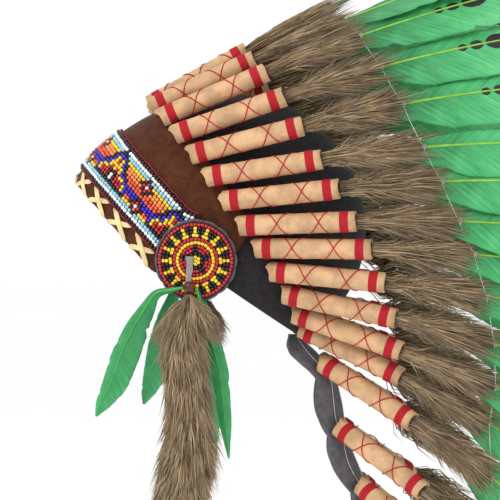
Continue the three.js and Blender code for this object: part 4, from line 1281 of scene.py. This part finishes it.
class HEADDRESS_OT_tie_threads(bpy.types.Operator):
    """Make the white thread that ties each half of the ring together: three turns round every
    quill, and a span to the next that hangs as a parabola."""

    bl_idname = "headdress.tie_threads"
    bl_label = "Tie threads"

    def execute(self, context):
        frames = {row[0]: plume_frame(*row) for row in plume_rows()}
        turn = np.linspace(0, 6 * np.pi, 37)
        share = np.linspace(0, 1, 9)
        for hand, side in SIDES:
            nodes = ["plume_centre"] + [f"plume_{hand}_{k + 1:02d}" for k in range(12)]
            nodes += [f"trailer_plume_{hand}_{k + 1}" for k in range(4)]
            knots, parts = [], []
            for node in nodes:
                centre = node == "plume_centre"
                knots.append(set_in(bent(float(TIE_PLACE), 0.0, 2.2, side, centre), frames[node]))
                coil = bent(TIE_PLACE + turn / np.pi * 0.5, TIE_COIL * np.cos(turn),
                            TIE_COIL * np.sin(turn) + 0.2, side, centre)
                parts.append(tube(set_in(coil, frames[node]), 0.3, 4))
            for a, b in zip(knots[:-1], knots[1:]):
                path = a + (b - a) * share[:, None]
                path[:, 2] -= 4 * share * (1 - share) * TIE_SLACK
                parts.append(tube(path, 0.22, 4, (0.9, 0.1, 0.3)))
            piece(f"tie_thread_{hand}", parts, [white_thread()])
        return {"FINISHED"}


class HEADDRESS_OT_trailer(bpy.types.Operator):
    """Make the felt strip below the nape: an arc round its back line, whose half angle is less by
    the scallops, and by a taper at its end and a tuck at its top. Threads run down its outside."""

    bl_idname = "headdress.trailer"
    bl_label = "Trailer"

    def execute(self, context):
        corners = node_points("trailer")
        line = corners[np.abs(corners[:, 1]) < 0.2]
        heights = np.unique(np.round(line[:, 2], 1))[::-1]
        back = [line[np.abs(line[:, 2] - z) < 0.2][:, 0].max() for z in heights]
        spine = np.stack([back, heights], -1)
        run = run_along(spine)
        down = np.linspace(0, run[-1], 130)
        x, z = (np.interp(down, run, spine[:, k])[:, None] for k in (0, 1))
        wave = TRAILER_SCALLOP * np.abs(np.sin(np.pi * down / SCALLOP_PITCH))
        tucked = np.clip(down / TRAILER_TUCK, 0, 1)
        tail = ((1 - TRAILER_TAPER * (down / TRAILER_LENGTH) ** 6)
                * (TUCKED_SHARE + (1 - TUCKED_SHARE) * tucked * (2 - tucked)))
        half = (TRAILER_HALF_ANGLE - (TRAILER_SCALLOP - wave) / TRAILER_RADIUS) * tail
        angle = half[:, None] * np.linspace(1, -1, 24)[None]
        ripple = 0.8 * np.sin(down / 9)[:, None] * (angle / TRAILER_HALF_ANGLE) ** 4
        skins = []
        for out in (0, -FELT_WALL):
            reach = TRAILER_RADIUS + out + ripple
            skins.append(np.stack([x + reach * np.cos(angle) - TRAILER_RADIUS,
                                   -reach * np.sin(angle), z + 0 * angle], -1))
        cloth = felt("grey_wool_felt", tuple(context.scene.headdress_felt.trailer))
        strip = piece("trailer_felt", [shell(*skins)], [cloth], ["trailer"])
        outer = skins[0]
        middle = np.stack([x[:, 0] - TRAILER_RADIUS / 3, 0 * down, z[:, 0]], -1)[:, None]
        strands = [tube((outer + 0.7 * unit(outer - middle))[::3, column]
                        + 0.3 * np.sin(down[::3, None] / 7 + column), 0.25, 4)
                   for column in (5, 9, 14, 18)]
        piece("trailer_threads", strands, [white_thread()])
        return {"FINISHED"}


# ---- what hangs from the rosettes ----
def drop_frame(hand, side):
    """The middle of a drop's tie bead, and a function that sets a point by back, out and up."""
    bead = node_points(f"tie_bead_{hand}")
    middle = (bead.min(0) + bead.max(0)) / 2

    def at(back, out, up):
        """The bead's middle plus the three, with out away from the head."""
        back, out, up = np.broadcast_arrays(back, out, up)
        return middle + np.stack([back, side * out, up], -1)
    return at


def drop_spot(share, angle, fill):
    """Back and out of a place in a strand of fur: the table's sway, plus an oval of the table's
    half width and half depth that is filled to this share."""
    sway = shaped(FUR_SHAPE, share, 1) * FUR_LENGTH
    half = shaped(FUR_SHAPE, share, 2) * FUR_WIDTH / 2
    deep = shaped(FUR_SHAPE, share, 3) * FUR_THICKNESS / 2
    return sway + np.cos(angle) * fill * half, np.sin(angle) * fill * deep


def drop_strand(at, side, props, random):
    """A strand's core and its hairs. Each hair is rooted inside, swells out, and falls to a place
    lower down that lies nearer the surface, and clumps of them reach further."""
    count = props.hairs
    row = np.linspace(0, 0.97, 26)[:, None]
    turn = np.arange(12) / 12 * 2 * np.pi
    core = lofted(at(*drop_spot(row, turn[None], FUR_CORE), DROP_TOP - row * FUR_LENGTH))
    core["tone"] = np.full(len(core["points"]), 0.03)
    share = random.uniform(0, 0.86, count)
    angle = random.uniform(0, 2 * np.pi, count)
    fill = random.uniform(0.45, 0.72, count)
    root = at(*drop_spot(share, angle, fill), DROP_TOP - share * FUR_LENGTH)
    stray = random.uniform(0, 1, count) > 0.85
    fall = random.uniform(16, 34, count) + np.where(stray, random.uniform(0, 14, count), 0)
    end = np.minimum(share + fall / FUR_LENGTH, 1.0)
    clump = 0.16 * np.sin(share * 43 + 2 * np.sin(3 * angle)) + 0.1 * np.sin(7 * angle + share * 31)
    back, out = drop_spot(end, angle + random.normal(0, 0.16, count),
                          random.uniform(0.8, 1.1, count) + 1.3 * clump)
    tip = at(back, out, DROP_TOP - share * FUR_LENGTH - fall)
    swell = np.stack([np.cos(angle) * 2.6, side * np.sin(angle) * 2.6, 1.5 + 0 * angle], -1)
    tip += random.normal(0, 1, (count, 3)) * np.where(stray, 3.2, 1.1)[:, None]
    mid = (root + tip) / 2 + swell + random.normal(0, 1.5, (count, 3))
    hairs = needles(root, mid, tip, props.hair / MM * random.uniform(0.7, 1.3, count))
    base = random.uniform(0.0, 0.5, count) + clump
    hairs["tone"] = np.repeat(base, HAIR_POINTS) + hairs["along"] ** 1.5 * 0.26
    return [core, hairs]


def drop_tuft(at, lean, props, random):
    """A short tuft at the top of a drop: its hairs fan out along a line that leans to one side,
    and each is bowed that way."""
    few = props.hairs // 9
    start = random.uniform(0, 0.45, few)
    angle = random.uniform(0, 2 * np.pi, few)
    size = random.uniform(0, 1, few) ** 0.5
    root = at(lean * start + np.cos(angle) * 2 * size,
              TUFT_RISE * start + np.sin(angle) * 2.6 * size, DROP_TOP - start * TUFT_LENGTH)
    ends = random.uniform(0.55, 1.05, few)
    tip = at(lean * ends * 1.1 + np.cos(angle) * 8 * size,
             TUFT_RISE * ends + np.sin(angle) * 5.5 * size, DROP_TOP - ends * TUFT_LENGTH)
    tip += random.normal(0, 3.0, (few, 3)) * ends[:, None]
    mid = (root + tip) / 2 + np.array([np.sign(lean) * 3.0, 0, 3.0])
    mid += random.normal(0, 2.2, (few, 3))
    tuft = needles(root, mid, tip, props.hair / MM * random.uniform(0.7, 1.2, few))
    tuft["tone"] = np.repeat(random.uniform(0.1, 0.55, few), HAIR_POINTS) + tuft["along"] * 0.2
    return tuft


def thong_strap(hand, side):
    """A flat strip down the middle of the thong's node, narrower to its end and slightly waved."""
    corners = node_points(f"thong_{hand}")
    low, high = corners.min(0), corners.max(0)
    middle = (low + high) / 2
    share = np.linspace(0, 1, 24)
    path = np.stack([middle[0] + 0.9 * np.sin(share * 5.5) * share,
                     middle[1] + side * (0.4 * np.sin(share * 7)),
                     high[2] + 0.5 - share * (high[2] - low[2] + 1.5)], -1)
    taper = (1 - 0.28 * share + 0.08 * np.sin(share * 14))[:, None, None]
    across, up, _ = np.eye(3)[:, None]
    return carried(path, across, up, flat_form(THONG_WIDTH, THONG_THICKNESS) * taper)


def tie_bead(at):
    """A round bead, flattened a little at its holes: over it, ring radius = sine to the power
    0.85 and rise = 0.98 of the cosine, times the bead's radius."""
    over = np.linspace(0, np.pi, 15)[:, None]
    bulge = TIE_BEAD_RADIUS * np.sin(over) ** 0.85
    bulge[[0, -1]] = 1.2
    cos, sin = circle(24).T
    return lofted(at(bulge * cos, bulge * sin, TIE_BEAD_RADIUS * np.cos(over) * 0.98))


def tied_feather(at, which, draw, random):
    """A drop's feather. Its quill follows the table's smoothed line down, back and in, and its
    vane reaches fore and aft, square to the way that the quill runs."""
    length, width, away, table = DROP_FEATHERS[which]
    rows = smooth_line(table, 60)
    line = np.stack([away * (TIE_BEAD_RADIUS + GAP) + rows[:, 1] * draw * length,
                     -rows[:, 0] * length], -1)
    way = unit(np.gradient(line, axis=0))
    normal = np.stack([-way[:, 1], way[:, 0]], -1)
    inward = -rows[:, 2] * length

    def place(_, across, up):
        """Back and up from the quill, for a row or a grid of points."""
        shape = (-1,) + (1,) * (across.ndim - 1)
        back, rise = (line[:, k].reshape(shape) + across * normal[:, k].reshape(shape)
                      for k in (0, 1))
        return at(back, inward.reshape(shape) + up, rise)

    run = run_along(line)
    part = vane_part(SLEEVE_LENGTH + run, rows[:, 3] * width, rows[:, 4] * width, place, random,
                     0.1 + 0.2 * run / run[-1], 1.0)
    stem = tube(place(None, 0 * run, 0.5 + 0 * run), np.linspace(1.1, 0.3, 60), 6, (0, 1, 0.1))
    return [part, second(stem)]


class HEADDRESS_OT_drops(bpy.types.Operator):
    """Make each drop: the thong, the tie bead, the strand of fur and the two feathers."""

    bl_idname = "headdress.drops"
    bl_label = "Drops"

    def execute(self, context):
        props = context.scene.headdress_drops
        plumes = context.scene.headdress_plumes
        hair = fur_material(props)
        grey = smooth_hide("silver_grey_hide", tuple(props.thong), 0.6)
        green = tones(plumes.vane_deep, 0.5, 1.1) + tones(plumes.vane_mid, 0.8, 1)
        blade = vane("dyed_drop_vane", green, False)
        rod = quill("dyed_drop_quill", linear("#3fae4e"))
        for hand, side in SIDES:
            random = np.random.default_rng(seed_of(hand) + 5)
            at = drop_frame(hand, side)
            piece(f"thong_strap_{hand}", [thong_strap(hand, side)], [grey],
                  [f"thong_{hand}"])
            piece(f"tie_bead_glass_{hand}", [tie_bead(at)], [dark_bead()],
                  [f"tie_bead_{hand}"])
            parts = drop_strand(at, side, props, random)
            parts += [drop_tuft(at, lean, props, random) for lean in (-TUFT_LEAN, TUFT_LEAN)]
            piece(f"fur_strand_{hand}", parts, [hair], [f"fur_drop_{hand}"])
            draw = 1 if hand == "left" else FAR_SIDE_DRAW
            for which in DROP_FEATHERS:
                piece(f"drop_feather_vane_{hand}_{which}", tied_feather(at, which, draw, random),
                      [blade, rod], [f"drop_feather_{hand}_{which}"])
        return {"FINISHED"}


class HEADDRESS_OT_stage(bpy.types.Operator):
    """Set out the pale floor, the soft lights and the camera."""

    bl_idname = "headdress.stage"
    bl_label = "Stage"

    def execute(self, context):
        props = context.scene.headdress_stage
        scene = context.scene
        rim = np.column_stack([FLOOR_RADIUS * circle(96), np.full(96, FLOOR_HEIGHT)])
        mesh = bpy.data.meshes.new("floor")
        mesh.from_pydata(rim.tolist(), [], [list(range(96))])
        floor = bpy.data.objects.new("floor", mesh)
        scene.collection.objects.link(floor)

        def build(tree):
            place = add(tree, "ShaderNodeTexCoord").outputs["Object"]
            cloud = add(tree, "ShaderNodeTexNoise", None, {"Vector": place, "Scale": 0.6})
            shade = add(tree, "ShaderNodeValToRGB",
                        {"stops": list(zip((0.3, 0.7), tones(props.floor, 0.98, 1)))},
                        {"Fac": cloud.outputs["Fac"]})
            return {"Base Color": shade.outputs["Color"]}
        mesh.materials.append(finished("painted_studio_floor", build, Roughness=0.9,
                                      Specular_IOR_Level=0.1))

        scene.view_settings.view_transform = "Standard"
        world = bpy.data.worlds.new("studio")
        world.use_nodes = True
        sky = world.node_tree.nodes["Background"]
        sky.inputs["Color"].default_value = (1, 1, 1, 1)
        sky.inputs["Strength"].default_value = props.sky
        scene.world = world
        # Each light's name, place in metres, turn in degrees, size in metres and power in watts.
        for name, place, turn, size, power in (
            ("key_light", (-1.5, -2.0, 1.7), (50, 0, -38), 1.2, 30),
            ("fill_light", (1.6, -2.4, 0.2), (82, 0, 34), 1.8, 5),
            ("back_light", (0.8, 2.2, 1.6), (-55, 0, 20), 1.6, 14),
        ):
            light = bpy.data.lights.new(name, "AREA")
            light.size = size
            light.energy = power
            lamp = bpy.data.objects.new(name, light)
            lamp.location = place
            lamp.rotation_euler = np.radians(turn)
            scene.collection.objects.link(lamp)

        lens = bpy.data.cameras.new("camera")
        lens.sensor_width = 36
        lens.lens = lens.sensor_width / 2 * props.distance / HALF_PICTURE
        lens.clip_start, lens.clip_end = 0.05, 200
        camera = bpy.data.objects.new("camera", lens)
        camera.location = (PICTURE_MIDDLE[0], -props.distance, PICTURE_MIDDLE[1])
        camera.rotation_euler = (np.pi / 2, 0, 0)
        scene.collection.objects.link(camera)
        scene.camera = camera
        return {"FINISHED"}


class HEADDRESS_PT_panel(bpy.types.Panel):
    """The headdress's pieces, in the order in which they are made."""

    bl_idname = "HEADDRESS_PT_panel"
    bl_label = "Feathered Headdress"
    bl_space_type = "VIEW_3D"
    bl_region_type = "UI"
    bl_category = "Headdress"

    def draw(self, context):
        for operator in OPERATORS:
            self.layout.operator(operator.bl_idname)
        for name, group in GROUPS.items():
            box = self.layout.box()
            box.label(text=group.__doc__)
            for prop in group.__annotations__:
                box.prop(getattr(context.scene, name), prop)


OPERATORS = (
    HEADDRESS_OT_stage, HEADDRESS_OT_felt_cap, HEADDRESS_OT_brow, HEADDRESS_OT_bead_band,
    HEADDRESS_OT_rosettes, HEADDRESS_OT_sleeves, HEADDRESS_OT_fur_locks, HEADDRESS_OT_feathers,
    HEADDRESS_OT_tie_threads, HEADDRESS_OT_trailer, HEADDRESS_OT_drops,
)
GROUPS = {
    "headdress_felt": FeltAndHide,
    "headdress_beads": Beadwork,
    "headdress_plumes": PlumeFinish,
    "headdress_drops": DropFinish,
    "headdress_stage": StageSetting,
}


def register():
    """Adds the classes, and a group of settings for each kind of piece."""
    for cls in (*GROUPS.values(), *OPERATORS, HEADDRESS_PT_panel):
        bpy.utils.register_class(cls)
    for name, group in GROUPS.items():
        setattr(bpy.types.Scene, name, bpy.props.PointerProperty(type=group))


def unregister():
    """Takes them away again."""
    for name in GROUPS:
        delattr(bpy.types.Scene, name)
    for cls in (HEADDRESS_PT_panel, *OPERATORS[::-1], *list(GROUPS.values())[::-1]):
        bpy.utils.unregister_class(cls)


def main():
    register()
    bpy.ops.headdress.stage()
    bpy.ops.headdress.felt_cap()
    bpy.ops.headdress.brow()
    bpy.ops.headdress.bead_band()
    bpy.ops.headdress.rosettes()
    bpy.ops.headdress.sleeves()
    bpy.ops.headdress.fur_locks()
    bpy.ops.headdress.feathers()
    bpy.ops.headdress.tie_threads()
    bpy.ops.headdress.trailer()
    bpy.ops.headdress.drops()


if __name__ == "__main__":
    main()
